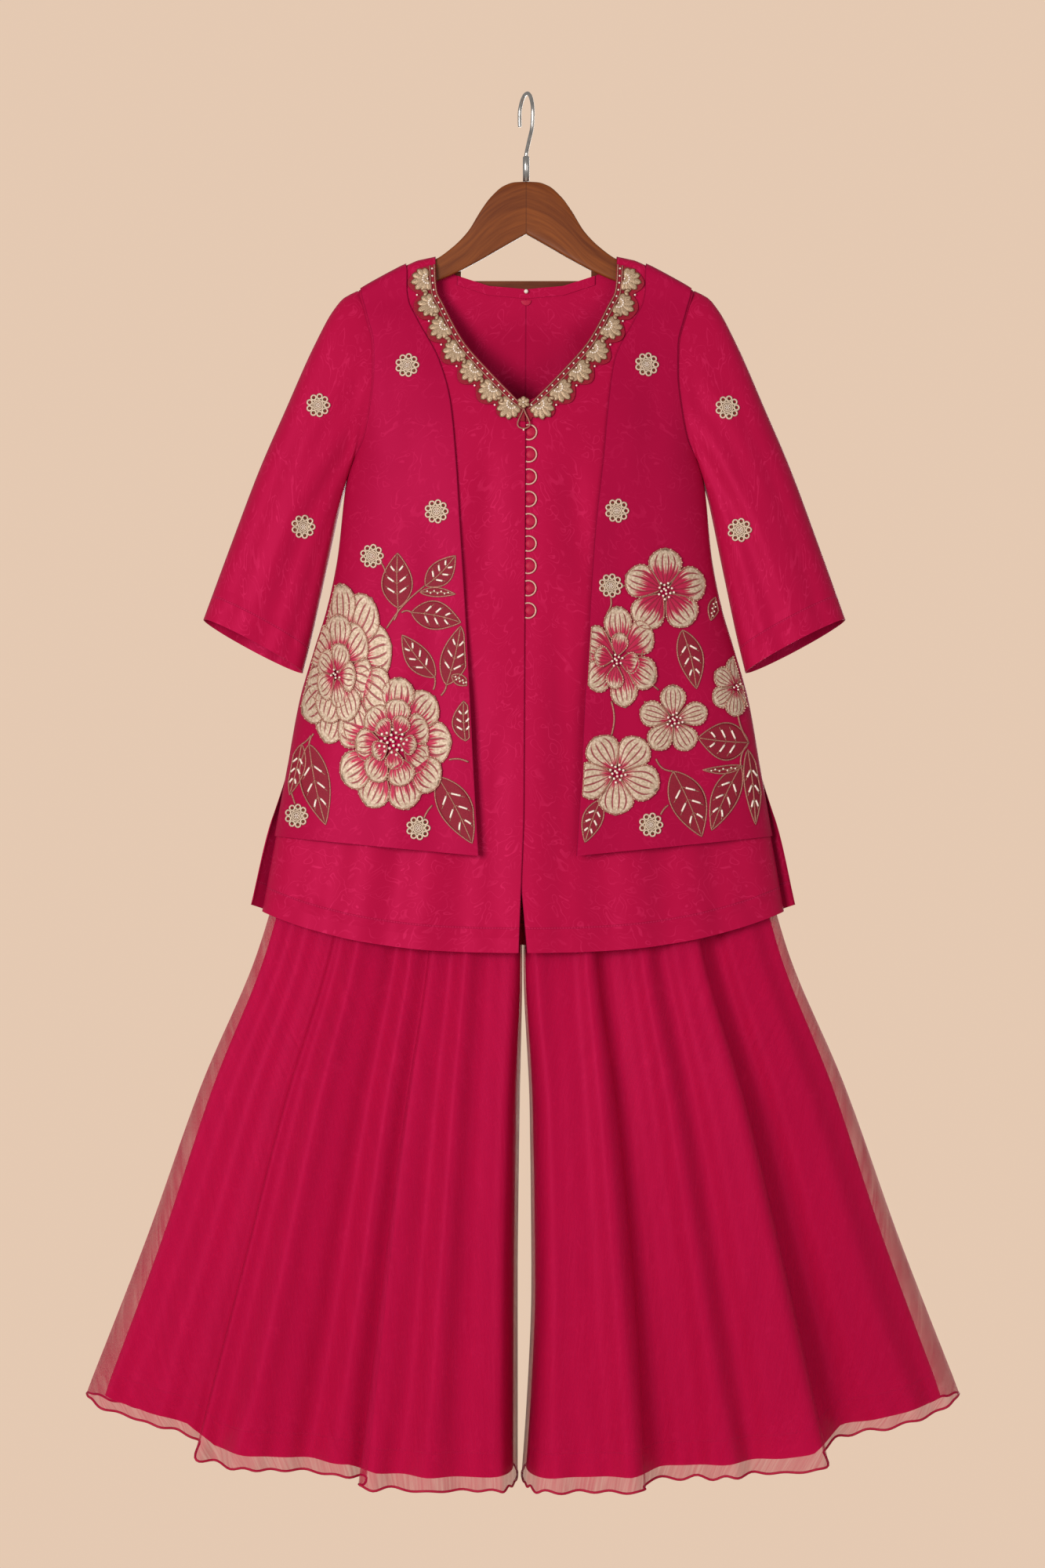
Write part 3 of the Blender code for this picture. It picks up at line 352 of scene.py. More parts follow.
JACKET_FOLDS = table(
    "x0 z0 x1 z1 width trough bow open",
    (-0.142, -0.230, -0.120, -0.520, 0.0160, 0.0014, -0.005, 0),
    (-0.160, -0.420, -0.185, -0.820, 0.0200, 0.0016, 0.004, 1),
    (-0.098, -0.340, -0.095, -0.800, 0.0180, 0.0018, -0.003, 1),
    (-0.130, -0.600, -0.150, -0.820, 0.0150, -0.0010, 0.003, 1),
    (0.138, -0.235, 0.118, -0.500, 0.0160, 0.0014, 0.005, 0),
    (0.150, -0.430, 0.178, -0.820, 0.0200, 0.0016, -0.004, 1),
    (0.095, -0.360, 0.092, -0.800, 0.0170, 0.0018, 0.003, 1),
    (0.200, -0.620, 0.225, -0.800, 0.0130, 0.0012, 0.002, 1),
)
# Down and across a sleeve: down 0 at the armhole and 1 at the cuff, across 0 outer line and 1 inner.
SLEEVE_FOLDS = table(
    "x0 z0 x1 z1 width trough bow open",
    (0.90, 0.10, 0.60, 1.00, 0.085, 0.0046, 0.06, 1),
    (0.55, 0.02, 0.36, 0.70, 0.075, 0.0028, -0.04, 0),
    (0.97, 0.16, 0.86, 1.00, 0.055, 0.0034, 0.03, 1),
    (0.30, 0.20, 0.20, 1.00, 0.070, 0.0020, 0.03, 1),
    (0.74, 0.30, 0.44, 0.98, 0.060, -0.0016, 0.05, 0),
)


def smooth(x, xs, ys):
    """Cubic curve through a table's points that never passes above or below its neighbours."""
    step = np.diff(xs)
    slope = np.diff(ys) / step
    product = slope[:-1] * slope[1:]
    total = slope[:-1] + slope[1:]
    inner = np.where(product > 0, 2 * product / np.where(total == 0, 1, total), 0)
    lean = np.concatenate((slope[:1], inner, slope[-1:]))
    x = np.clip(x, xs[0], xs[-1])
    i = np.clip(np.searchsorted(xs, x, side="right") - 1, 0, len(step) - 1)
    t = (x - xs[i]) / step[i]
    start = ys[i] * (1 + 2 * t) * (1 - t) ** 2 + step[i] * lean[i] * t * (1 - t) ** 2
    return start + ys[i + 1] * t**2 * (3 - 2 * t) + step[i] * lean[i + 1] * t**2 * (t - 1)


def through_rows(rows, place):
    """The same curve through whole rows of points, read at fractional row numbers."""
    rows = np.asarray(rows, dtype=float)
    slope = np.diff(rows, axis=0)
    product = slope[:-1] * slope[1:]
    total = slope[:-1] + slope[1:]
    inner = np.where(product > 0, 2 * product / np.where(total == 0, 1, total), 0)
    lean = np.concatenate((slope[:1], inner, slope[-1:]))
    i = np.minimum(place.astype(int), len(rows) - 2)
    t = (place - i).reshape(-1, *(1 for _ in rows.shape[1:]))
    start = rows[i] * (1 + 2 * t) * (1 - t) ** 2 + lean[i] * t * (1 - t) ** 2
    return start + rows[i + 1] * t**2 * (3 - 2 * t) + lean[i + 1] * t**2 * (t - 1)


def row_places(z, step=ROW_STEP):
    """Fractional row numbers, so that the rows come out about a step apart."""
    places = [np.zeros(1)]
    for number, gap in enumerate(np.abs(np.diff(z))):
        count = max(2, int(np.ceil(gap / step)))
        places.append(number + np.arange(1, count + 1) / count)
    return np.concatenate(places)


def at_height(tab, name, z):
    """A column's value between rows, for a table that runs from the top down."""
    return smooth(-z, -tab["z"], tab[name])


def sway(z):
    """The garment hangs a little to one side: x shift, from the shoulders down to the hem."""
    return SWAY * np.clip((SHOULDER_TOP - z) / (SHOULDER_TOP - TUNIC_HEM), 0, 1)


def shoulder_z(x):
    """Height of the shoulder seam at x."""
    return np.interp(np.abs(x), SHOULDER["x"], SHOULDER["z"])


def body_depth(x, z, face):
    """Distance of the tunic's wall from the middle plane.

    h = (brim + (depth - brim) * (1 - f**2.2)**(1 / 1.8)) * ridge, with f = |x| / round, and
    ridge = sqrt(1 - (1 - d)**2), d = drop below the shoulder seam / ridge radius, up to 1.
    """
    below = at_height(BODY, "edge" if face == "front" else "back_edge", z)
    wide = np.where(z > UNDERARM_Z, at_height(BODY, "round", z), below)
    f = np.clip(np.abs(x) / wide, 0, 1)
    brim = at_height(BODY, "brim", z)
    depth = at_height(BODY, face, z)
    drop = np.clip((shoulder_z(x) - z) / RIDGE, 0, 1)
    ridge = np.sqrt(1 - (1 - drop) ** 2)
    return np.maximum(SIDE_HALF_GAP, (brim + (depth - brim) * (1 - f**ROUND_X) ** (1 / ROUND_Y)) * ridge)


def lifted(x, z, lift):
    """Front points moved out by lift along the wall's normal (-h_x, -1, -h_z)."""
    step = FINE_STEP
    slope_x = (body_depth(x + step, z, "front") - body_depth(x - step, z, "front")) / (2 * step)
    slope_z = (body_depth(x, z + step, "front") - body_depth(x, z - step, "front")) / (2 * step)
    size = np.sqrt(slope_x**2 + 1 + slope_z**2)
    y = -body_depth(x, z, "front")
    return x - slope_x / size * lift, y - lift / size, z - slope_z / size * lift


def placed(side, x, y, z):
    """Points as rows by columns by xyz, on the side asked for."""
    return np.stack((side * x + sway(z), y, z), axis=-1)


def troughs(folds, x, z):
    """Sum of the folds' dents at x, z.

    Each dent is trough * exp(-(distance / width)**2), rising from nothing at its start, and
    falling again to its end unless it is open there. The distance is from a bowed line.
    """
    total = np.zeros(np.broadcast(x, z).shape)
    for x0, z0, x1, z1, width, trough, bow, is_open in zip(*folds.values()):
        length = np.hypot(x1 - x0, z1 - z0)
        along_x, along_z = (x1 - x0) / length, (z1 - z0) / length
        t = ((x - x0) * along_x + (z - z0) * along_z) / length
        off = (x - x0) * along_z - (z - z0) * along_x + bow * np.sin(pi * np.clip(t, 0, 1))
        rise = np.clip(t / 0.35, 0, 1)
        fall = 1.0 if is_open else np.clip((1 - t) / 0.35, 0, 1)
        ends = rise**2 * (3 - 2 * rise) * fall**2 * (3 - 2 * fall)
        spread = width * (1 + 0.35 * np.clip(t, 0, 1))
        total += trough * ends * np.exp(-((off / spread) ** 2))
    return total


def panel_grid(rows, inner_name, edge_name, columns, shoulder_inner):
    """x and z of a body panel: rows over the shoulder's ridge, then the table's rows, made dense.

    Columns crowd towards the side: across = sin(pi / 2 * c)**0.909 for c from 0 to 1.
    """
    across = np.sin(np.linspace(0, pi / 2, columns + 1)) ** SIDE_CROWDING
    tip = SHOULDER["z"][-1]
    x_rows, z_rows = [], []
    for drop in RIDGE_DROPS:
        outer = at_height(BODY, edge_name, tip - drop)
        x = shoulder_inner + (outer - shoulder_inner) * across
        x_rows.append(x)
        z_rows.append(shoulder_z(x) - drop)
    spans = zip(rows[inner_name], rows["middle_z"], rows["side_z"], rows["bend"])
    for inner, middle_z, side_z, bend in spans:
        x = inner + (at_height(BODY, edge_name, side_z) - inner) * across
        x_rows.append(x)
        z_rows.append(middle_z + (side_z - middle_z) * across**bend)
    z_rows = np.array(z_rows)
    place = row_places(z_rows.mean(axis=1))
    return through_rows(x_rows, place), through_rows(z_rows, place), across, place


def new_mesh(name, points, faces, material, uv=None, marks=()):
    """A mesh piece at the origin from points and faces, with its UV map and marks."""
    mesh = bpy.data.meshes.new(name)
    mesh.from_pydata(points.tolist(), [], faces)
    if uv is not None:
        corners = np.zeros(len(mesh.loops), dtype=np.int32)
        mesh.loops.foreach_get("vertex_index", corners)
        layer = mesh.uv_layers.new(name="cloth")
        layer.data.foreach_set("uv", uv[corners].astype(np.float32).ravel())
    for mark, values in marks:
        made = mesh.attributes.new(mark, "FLOAT", "POINT")
        made.data.foreach_set("value", values.astype(np.float32).ravel())
    mesh.shade_smooth()
    mesh.materials.append(material)
    piece = bpy.data.objects.new(name, mesh)
    bpy.context.scene.collection.objects.link(piece)
    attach(piece, "root")
    return piece


def grid_faces(rows, columns, wrap):
    """Quads of a grid, row by row; wrap joins the last column to the first."""
    ids = np.arange(rows * columns).reshape(rows, columns)
    if wrap:
        ids = np.concatenate((ids, ids[:, :1]), axis=1)
    quads = np.stack((ids[:-1, :-1], ids[1:, :-1], ids[1:, 1:], ids[:-1, 1:]), axis=-1)
    return quads.reshape(-1, 4).tolist()


def sheet(name, points, node, finish, thickness=CLOTH, wrap=False):
    """A wall of cloth from a grid of points.

    Its UV map is in metres: u along each row, v down each column. Its mark hem is the distance
    up from the last row, and seam the distance in from the nearer side edge.
    """
    step_u = np.linalg.norm(np.diff(points, axis=1), axis=-1)
    step_v = np.linalg.norm(np.diff(points, axis=0), axis=-1)
    u = np.concatenate((np.zeros((len(points), 1)), np.cumsum(step_u, axis=1)), axis=1)
    v = np.concatenate((np.zeros((1, points.shape[1])), np.cumsum(step_v, axis=0)), axis=0)
    hem = v[-1:] - v
    seam = np.minimum(u, u[:, -1:] - u)
    keep = slice(None, -1) if wrap else slice(None)
    used = points[:, keep]
    uv = np.stack((u[:, keep], -v[:, keep]), axis=-1).reshape(-1, 2)
    faces = grid_faces(len(used), used.shape[1], wrap)
    marks = (("hem", hem[:, keep]), ("seam", seam[:, keep]))
    piece = new_mesh(name, used.reshape(-1, 3), faces, FINISHES[finish], uv, marks)
    wall = piece.modifiers.new("wall", "SOLIDIFY")
    wall.thickness = thickness
    wall.offset = 0.0
    # An edge that only one face uses is a cut edge of the cloth, and is shaded sharp.
    used_by = np.zeros(len(piece.data.loops), dtype=np.int32)
    piece.data.loops.foreach_get("edge_index", used_by)
    cut = np.bincount(used_by, minlength=len(piece.data.edges)) == 1
    crisp = piece.data.attributes.new("sharp_edge", "BOOLEAN", "EDGE")
    crisp.data.foreach_set("value", cut)
    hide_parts(node)
    return piece


def side_fade(across):
    """1 over most of a panel, falling to nothing at its side seam."""
    return 1 - across**5


def make_tunic():
    """Fronts and backs; the left front laps over the right one."""
    pieces = {}
    for name, side in SIDES:
        x, z, across, _ = panel_grid(FRONT_ROWS, name + "_x", "edge", 56, SHOULDER["x"][0])
        depth = body_depth(x, z, "front")
        if name == "right":
            under = np.clip(1 - (x + LAP) / LAP_FADE, 0, 1) * (z <= V_POINT)
            depth = depth - LAP_TUCK * under
        points = placed(side, x, -depth, z)
        points[..., 1] += TUNIC_FOLD_GAIN * troughs(TUNIC_FOLDS, points[..., 0], z) * side_fade(across)
        node = f"tunic_front_{name}"
        pieces[node] = sheet(f"{node}_cloth", points, node, "satin")
        x, z, across, _ = panel_grid(BACK_ROWS, name + "_x", "back_edge", 48, SHOULDER["x"][0])
        x = x - SEAM / 2 * (1 - across)
        points = placed(side, x, body_depth(x, z, "back"), z)
        points[..., 1] -= troughs(BACK_FOLDS, points[..., 0], z) * side_fade(across)
        node = f"tunic_back_{name}"
        pieces[node] = sheet(f"{node}_cloth", points, node, "satin")
    return pieces


def make_jackets(pieces):
    """Jacket fronts: the tunic front's surface moved out, more towards the free edge."""
    ridge_lift = np.full(len(RIDGE_DROPS), JACKET_EDGE_LIFT)
    for name, side in SIDES:
        grid = panel_grid(JACKET_ROWS, name + "_x", "edge", 52, JACKET_INNER_TOP)
        x, z, across, place = grid
        free = np.concatenate((ridge_lift, JACKET_ROWS["lift"]))[:, None]
        free = through_rows(free, place)
        lift = JACKET_EDGE_LIFT + (free - JACKET_EDGE_LIFT) * (1 - across**3)
        above = 1 / (1 + np.exp(-(z - UNDERARM_Z) / 0.004))
        x = x - JACKET_ARMHOLE_INSET * across**4 * above
        points = placed(side, *lifted(x, z, lift))
        folds = troughs(JACKET_FOLDS, points[..., 0], points[..., 2])
        points[..., 1] += JACKET_FOLD_GAIN * folds * side_fade(across)
        node = f"jacket_front_{name}"
        pieces[node] = sheet(f"{node}_cloth", points, node, "jacket_satin")


def make_sleeves(pieces):
    """Tubes from the armhole's ring to the cuff's.

    Round the ring s = (1 - cos(2 pi t)) / 2 runs from the outer line to the inner one and back.
    """
    count = 64
    turn = np.linspace(0, 1, count + 1)
    s = (1 - np.cos(2 * pi * turn)) / 2
    facing = np.where(turn < 0.5, -1.0, 1.0)
    top, bottom = SLEEVE_ROWS["outer_z"][0], SLEEVE_ROWS["inner_z"][0]
    ring_z = top + (bottom - top) * s
    edge = at_height(BODY, "edge", ring_z)
    ring_x = edge + SLEEVE_START + UNDERARM_CLEAR * s**6
    ring_x = ring_x + JACKET_CLEAR * (facing < 0) * np.minimum(1, 12 * s * (1 - s))
    front = body_depth(edge, ring_z, "front")
    back = body_depth(edge, ring_z, "back")
    ring_y = np.where(facing < 0, -front, back) * np.minimum(1, 14 * s * (1 - s)) ** 0.5
    straight = ring_x[0] + (ring_x[count // 2] - ring_x[0]) * s
    place = row_places(SLEEVE_ROWS["outer_z"])
    dense = {key: through_rows(col, place)[:, None] for key, col in SLEEVE_ROWS.items()}
    swell = dense["round"]
    x = dense["outer_x"] + (dense["inner_x"] - dense["outer_x"]) * s
    x = x + (1 - swell) * (ring_x - straight)
    z = dense["outer_z"] + (dense["inner_z"] - dense["outer_z"]) * s
    y = (1 - swell) * ring_y + swell * facing * CUFF_HALF_DEPTH * 2 * np.sqrt(s * (1 - s))
    z = z - swell * CUFF_TILT * y / CUFF_HALF_DEPTH
    tuck_x = edge - SLEEVE_TUCK
    front_tuck = body_depth(tuck_x, ring_z, "front") * (facing < 0)
    back_tuck = body_depth(tuck_x, ring_z, "back") * (facing > 0)
    tuck_y = facing * (front_tuck + back_tuck - SLEEVE_UNDER) * np.minimum(1, 14 * s * (1 - s)) ** 0.5
    x = np.concatenate((tuck_x[None], x))
    y = np.concatenate((tuck_y[None], y))
    z = np.concatenate((ring_z[None], z))
    down = np.concatenate(([0.0], place / place[-1]))[:, None]
    for number, (name, side) in enumerate(SIDES):
        dent = troughs(SLEEVE_FOLDS, np.abs(s - 0.02 * number), down * (1 - 0.04 * number))
        pressed = y - facing * dent * np.minimum(1, 6 * s * (1 - s)) * np.clip(down / 0.1, 0, 1)
        rows = placed(side, x, pressed, z)
        rows[:, -1] = rows[:, 0]
        node = f"sleeve_{name}"
        pieces[node] = sheet(f"{node}_cloth", rows, node, "satin", wrap=True)


LEG_HEM_ROW = np.array([len(LEG_ROWS["middle_z"]) - 1.0])


def leg_rows(place, s, name, face, layer):
    """Rows of a leg's panel, from the centre or inseam (s = 0) to the side seam (s = 1).

    x = inner + (side - inner) * (s + tile * fold), and the distance from the middle plane is
    y = depth * profile + puff * fold, with fold = sin(a) * 4 s (1 - s), so that each fold's front
    layer reaches over the next one before the cloth turns back.
    """
    get = {key: through_rows(col, place)[:, None] for key, col in LEG_ROWS.items()}
    first, pitch = LEG_FOLDS[name, face]
    turn = acos(-pitch / (2 * pi * LEG_TILE))
    tip = first - LEG_TILE * np.sin(turn)
    fold = np.sin(turn + 2 * pi * (s - tip) / pitch) * (4 * s * (1 - s)) ** LEG_END_FADE
    tile, puff = LEG_TILE * get["tile"], get["puff"]
    side_x, depth, shorter = get["side_x"], get[face], 0.0
    inner = get[name + "_x"]
    if layer == "satin":
        tile, puff = SATIN_TILE * get["tile"], puff * SATIN_PUFF
        side_x, depth = side_x - get["in_x"], depth - get["in_y"]
        shorter = SATIN_SHORTER * np.minimum(1, (get["middle_z"] - WAIST_Z) / (LEG_HEM_Z - WAIST_Z))
        inner = inner + get["in_x"] * 0.25
    x = inner + (side_x - inner) * (s + tile * fold)
    round_in = np.sqrt(1 - (1 - np.clip(s / LEG_ROUND_IN, 0, 1)) ** 2)
    profile = (1 - s**ROUND_X) ** (1 / ROUND_Y) * (1 - get["crotch"] * (1 - round_in))
    y = np.maximum(depth * profile + puff * fold, SIDE_HALF_GAP)
    z = get["middle_z"] + (get["side_z"] - get["middle_z"]) * s**LEG_HEM_CURVE + shorter
    return x, y, z


def even_steps(count, name, face, layer):
    """Values of s that are the same distance apart along the hem."""
    fine = (1 - np.cos(np.linspace(0, pi, 4001))) / 2
    x, y, _ = leg_rows(LEG_HEM_ROW, fine, name, face, layer)
    length = np.concatenate(([0], np.cumsum(np.hypot(np.diff(x[0]), np.diff(y[0])))))
    return np.interp(np.linspace(0, length[-1], count + 1), length, fine), length[-1]


def satin_drop(x, z, name, face):
    """How far the satin's hem moves so that it steps with the organza's folds, a little above them.

    At each x the organza layer that shows is the first one to reach it along the hem.
    """
    s = (1 - np.cos(np.linspace(0, pi, 2001))) / 2
    over_x, _, over_z = leg_rows(LEG_HEM_ROW, s, name, face, "organza")
    reached = np.maximum.accumulate(over_x[0]) + 1e-7 * np.arange(len(s))
    drop = np.interp(x, reached, over_z[0]) + SATIN_ABOVE - z
    return np.convolve(np.pad(drop, 2, mode="edge"), np.full(5, 0.2), mode="valid")


def make_legs(pieces):
    """Satin legs and the organza over them, each with a front and a back panel.

    Soft flutes run down both: y loses depth * (1.45 - cos(k q) - 0.45 cos(1.9 k q)) / 2.9, growing
    to the hem, where q is x as a share of the row's width. Near the hem the organza waves by the
    cosine of the length along it.
    """
    counts = (("organza", 168, SHEER), ("satin", 84, CLOTH))
    for number, (name, side) in enumerate(SIDES):
        for face, facing in FACES:
            for layer, count, thickness in counts:
                s, length = even_steps(count, name, face, layer)
                place = row_places(LEG_ROWS["middle_z"], LEG_ROW_STEP)
                x, y, z = leg_rows(place, s, name, face, layer)
                drift = SIDE_DRIFT * number + BACK_DRIFT * (face == "back")
                soft = np.minimum(1, 6 * s * (1 - s))
                fall = (place / place[-1])[:, None]
                share = x / through_rows(LEG_ROWS["side_x"], place)[:, None]
                second = np.cos(SECOND_FLUTE_RATE * FLUTES * share + 2 * drift)
                flutes = np.cos(FLUTES * share + drift) + SECOND_FLUTE * second
                dent = FLUTE_DEPTH * soft * fall * (1 + SECOND_FLUTE - flutes) / (2 + 2 * SECOND_FLUTE)
                pressed = 1.0 if layer == "satin" else ORGANZA_FLUTE_SHARE
                y = np.maximum(y - dent * pressed, SIDE_HALF_GAP)
                if layer == "satin":
                    z = z + satin_drop(x[-1], z[-1], name, face) * fall
                else:
                    rise = np.exp(-((z - z[-1]) / RUFFLE_RISE) ** 2)
                    arc = np.linspace(0, length, count + 1)
                    slow = 0.9 * np.sin(arc * 19 + drift) + 0.6 * np.sin(arc * 47 + 2 * drift)
                    wave = np.cos(2 * pi * arc / RUFFLE_LENGTH + slow)
                    size = (0.75 + 0.35 * np.sin(arc * 31 + drift)) * np.minimum(1, 40 * s * (1 - s))
                    z = z - RUFFLE_HEIGHT * wave * size * rise
                    y = np.maximum(y + RUFFLE_DEPTH * wave * size * rise, SIDE_HALF_GAP)
                node = f"{layer}_{face}_{name}"
                points = placed(side, x, facing * y, z)
                finish = "leg_satin" if layer == "satin" else "organza"
                pieces[node] = sheet(f"{node}_cloth", points, node, finish, thickness)
                if layer == "organza":
                    HEMS[node] = points[-1]


def make_waist():
    """The palazzo's waistband, and the tapes that hang it over the hanger's arms."""
    angle = np.linspace(0, 2 * pi, 97)
    x = WAIST_HALF * np.sign(np.cos(angle)) * np.abs(np.cos(angle)) ** (2 / ROUND_X)
    y = WAIST_DEPTH * np.sign(np.sin(angle)) * np.abs(np.sin(angle)) ** (2 / ROUND_Y)
    z = np.linspace(WAIST_Z + WAISTBAND_HEIGHT, WAIST_Z + SEAM, 9)[:, None]
    rows = placed(1, x + 0 * z, y + 0 * z, z + 0 * x)
    rows[:, -1] = rows[:, 0]
    sheet("waistband_cloth", rows, "waistband", "satin", WAISTBAND_WALL, wrap=True)
    band_top = WAIST_Z + WAISTBAND_HEIGHT + SEAM
    f = TAPE_X / WAIST_HALF
    foot = WAIST_DEPTH * (1 - f**ROUND_X) ** (1 / ROUND_Y)
    bend = np.linspace(pi, 0, 7)[1:-1]
    lean = np.linspace(-TAPE_HALF_WIDTH, TAPE_HALF_WIDTH, 5) + TAPE_X
    top = np.interp(lean, HANGER_TOP["x"], HANGER_TOP["z"]) + 1.8 * SEAM + TAPE_THICKNESS / 2
    for name, side in SIDES:
        low = band_top + 0 * top
        straight = TAPE_STRAIGHT_Z + 0 * top
        near = top - TAPE_CREST * 0.9
        y_rows = np.concatenate(
            (
                [-foot, -TAPE_HALF_SPAN, -TAPE_HALF_SPAN],
                TAPE_HALF_SPAN * np.cos(bend),
                [TAPE_HALF_SPAN, TAPE_HALF_SPAN, foot],
            )
        )
        crest = [top - TAPE_CREST + TAPE_CREST * np.sin(a) ** 0.5 for a in bend]
        z_rows = np.array([low, straight, near, *crest, near, straight, low])
        x_rows = np.broadcast_to(side * lean, z_rows.shape)
        y_rows = np.broadcast_to(y_rows[:, None], z_rows.shape)
        points = np.stack((x_rows, y_rows, z_rows), axis=-1)
        node = f"hanging_tape_{name}"
        sheet(f"{node}_cloth", points, node, "tape", TAPE_THICKNESS)


def height_map(piece, step=0.0020):
    """Depth of a piece's front face on a square raster, read from rays along +Y.

    Returns a function that gives y and the outward normal at any x, z between the raster's points.
    """
    bpy.context.view_layer.update()
    tree = BVHTree.FromObject(piece, bpy.context.evaluated_depsgraph_get())
    co = np.zeros(len(piece.data.vertices) * 3, dtype=np.float32)
    piece.data.vertices.foreach_get("co", co)
    co = co.reshape(-1, 3)
    low, high = co.min(axis=0) - 2 * step, co.max(axis=0) + 2 * step
    xs = np.arange(low[0], high[0], step)
    zs = np.arange(low[2], high[2], step)
    depth = np.full((len(zs), len(xs)), np.nan)
    ahead = Vector((0, 1, 0))
    for row, z in enumerate(zs):
        for column, x in enumerate(xs):
            hit = tree.ray_cast(Vector((x, -1, z)), ahead)[0]
            if hit is not None:
                depth[row, column] = hit.y
    while np.isnan(depth).any():
        near = np.stack([np.roll(depth, move, axis) for axis in (0, 1) for move in (-1, 1)])
        known = ~np.isnan(near)
        mean = np.where(known, near, 0).sum(axis=0) / np.maximum(1, known.sum(axis=0))
        depth = np.where(np.isnan(depth) & known.any(axis=0), mean, depth)
    slope_z, slope_x = np.gradient(depth, step)

    def read(x, z):
        column = np.clip((x - xs[0]) / step, 0, len(xs) - 1.001)
        row = np.clip((z - zs[0]) / step, 0, len(zs) - 1.001)
        i, j = row.astype(int), column.astype(int)
        v, u = row - i, column - j
        found = []
        for field in (depth, slope_x, slope_z):
            top = field[i, j] * (1 - u) + field[i, j + 1] * u
            low_row = field[i + 1, j] * (1 - u) + field[i + 1, j + 1] * u
            found.append(top * (1 - v) + low_row * v)
        y, lean_x, lean_z = found
        normal = np.stack((lean_x, -np.ones_like(y), lean_z), axis=-1)
        return y, normal / np.linalg.norm(normal, axis=-1, keepdims=True)

    return read


def seated(read, x, z, lift):
    """Points at x, z on a piece's front face, moved out along its normal by lift."""
    y, normal = read(x, z)
    return np.stack((x, y, z), axis=-1) + normal * np.asarray(lift)[..., None]


def band_place(along):
    """Fractional rows of the band's table from shares of the length along the V's edge."""
    steps = np.hypot(np.diff(BAND_ROWS["inner_x"]), np.diff(BAND_ROWS["inner_z"]))
    length = np.concatenate(([0], np.cumsum(steps)))
    return np.interp(along, length / length[-1], np.arange(len(length))) * 0.9999


def make_band(pieces, maps):
    """Bands along the V, scalloped at their outer edge, and the back neck's facing."""
    steps = np.linspace(0, 1, 20 * BAND_SCALLOPS + 1)
    ends = {}
    for key, col in BAND_ROWS.items():
        ends[key] = through_rows(col, band_place(steps))[:, None]
    width = 1 - BAND_SCALLOP_DEPTH * (1 - np.abs(np.sin(pi * BAND_SCALLOPS * steps)))
    width = np.where(steps > 0.985, 1, width)[:, None]
    across = np.linspace(0, 1, 13)
    x = ends["inner_x"] + (ends["outer_x"] - ends["inner_x"]) * width * across
    z = ends["inner_z"] + (ends["outer_z"] - ends["inner_z"]) * width * across
    x = np.maximum(x, 0.0008)
    for name, side in SIDES:
        world = side * x + sway(z)
        points = seated(maps[f"tunic_front_{name}"], world, z, 0 * x + CLOTH / 2 + 3 * SEAM)
        node = f"neck_band_{name}"
        pieces[node] = sheet(f"{node}_cloth", points, node, "band")
    x = np.linspace(-FACING_HALF, FACING_HALF, 61)
    z = np.interp(np.abs(x), BACK_NECK["x"], BACK_NECK["z"])
    z = z - FACING_HEIGHT * np.linspace(0, 1, 5)[:, None]
    depth = np.full(z.shape, BODY["back"][0] - CLOTH - SEAM)
    points = np.stack((np.broadcast_to(x, z.shape), depth, z), axis=-1)
    sheet("back_neck_facing_cloth", points, "back_neck_facing", "satin")


# One row for each ring of petals. x z: centre. wide tall: half sizes of the whole flower.
# start reach half: where a petal begins, how long and how half wide it is, as parts of the half sizes.
RING_COLUMNS = "x z wide tall turn petals start reach half lift blush"
PETAL_RINGS = {
    "flower_left_1": table(
        RING_COLUMNS,
        (-0.1940, -0.6114, 0.0548, 0.0905, 12, 9, 0.30, 0.70, 0.300, 0.0006, 0.50),
        (-0.1980, -0.6160, 0.0548, 0.0905, 40, 7, 0.16, 0.52, 0.250, 0.0017, 0.50),
        (-0.2010, -0.6220, 0.0548, 0.0905, 70, 5, 0.04, 0.36, 0.170, 0.0028, 0.50),
    ),
    "flower_left_2": table(
        RING_COLUMNS,
        (-0.1405, -0.6960, 0.0622, 0.0745, 5, 9, 0.34, 0.66, 0.280, 0.0006, 0.75),
        (-0.1400, -0.6940, 0.0622, 0.0745, 28, 7, 0.20, 0.46, 0.220, 0.0017, 0.75),
        (-0.1395, -0.6930, 0.0622, 0.0745, 60, 5, 0.10, 0.30, 0.140, 0.0028, 1.00),
    ),
    "flower_right_1": table(
        RING_COLUMNS,
        (0.1467, -0.5325, 0.0470, 0.0470, 18, 5, 0.08, 0.92, 0.370, 0.0006, 0.90),
    ),
    "flower_right_2": table(
        RING_COLUMNS,
        (0.0990, -0.6031, 0.0430, 0.0548, 35, 6, 0.16, 0.84, 0.330, 0.0006, 0.80),
        (0.0950, -0.6070, 0.0430, 0.0548, 80, 4, 0.08, 0.50, 0.200, 0.0018, 1.00),
    ),
    "flower_right_3": table(
        RING_COLUMNS,
        (0.1558, -0.6703, 0.0380, 0.0380, 90, 5, 0.08, 0.92, 0.340, 0.0006, 0.25),
    ),
    "flower_right_4": table(
        RING_COLUMNS,
        (0.0955, -0.7259, 0.0475, 0.0475, 54, 5, 0.08, 0.92, 0.390, 0.0006, 0.25),
    ),
    "side_flower": table(
        RING_COLUMNS,
        (0.2230, -0.6346, 0.0290, 0.0330, 30, 6, 0.10, 0.90, 0.340, 0.0006, 0.45),
    ),
}
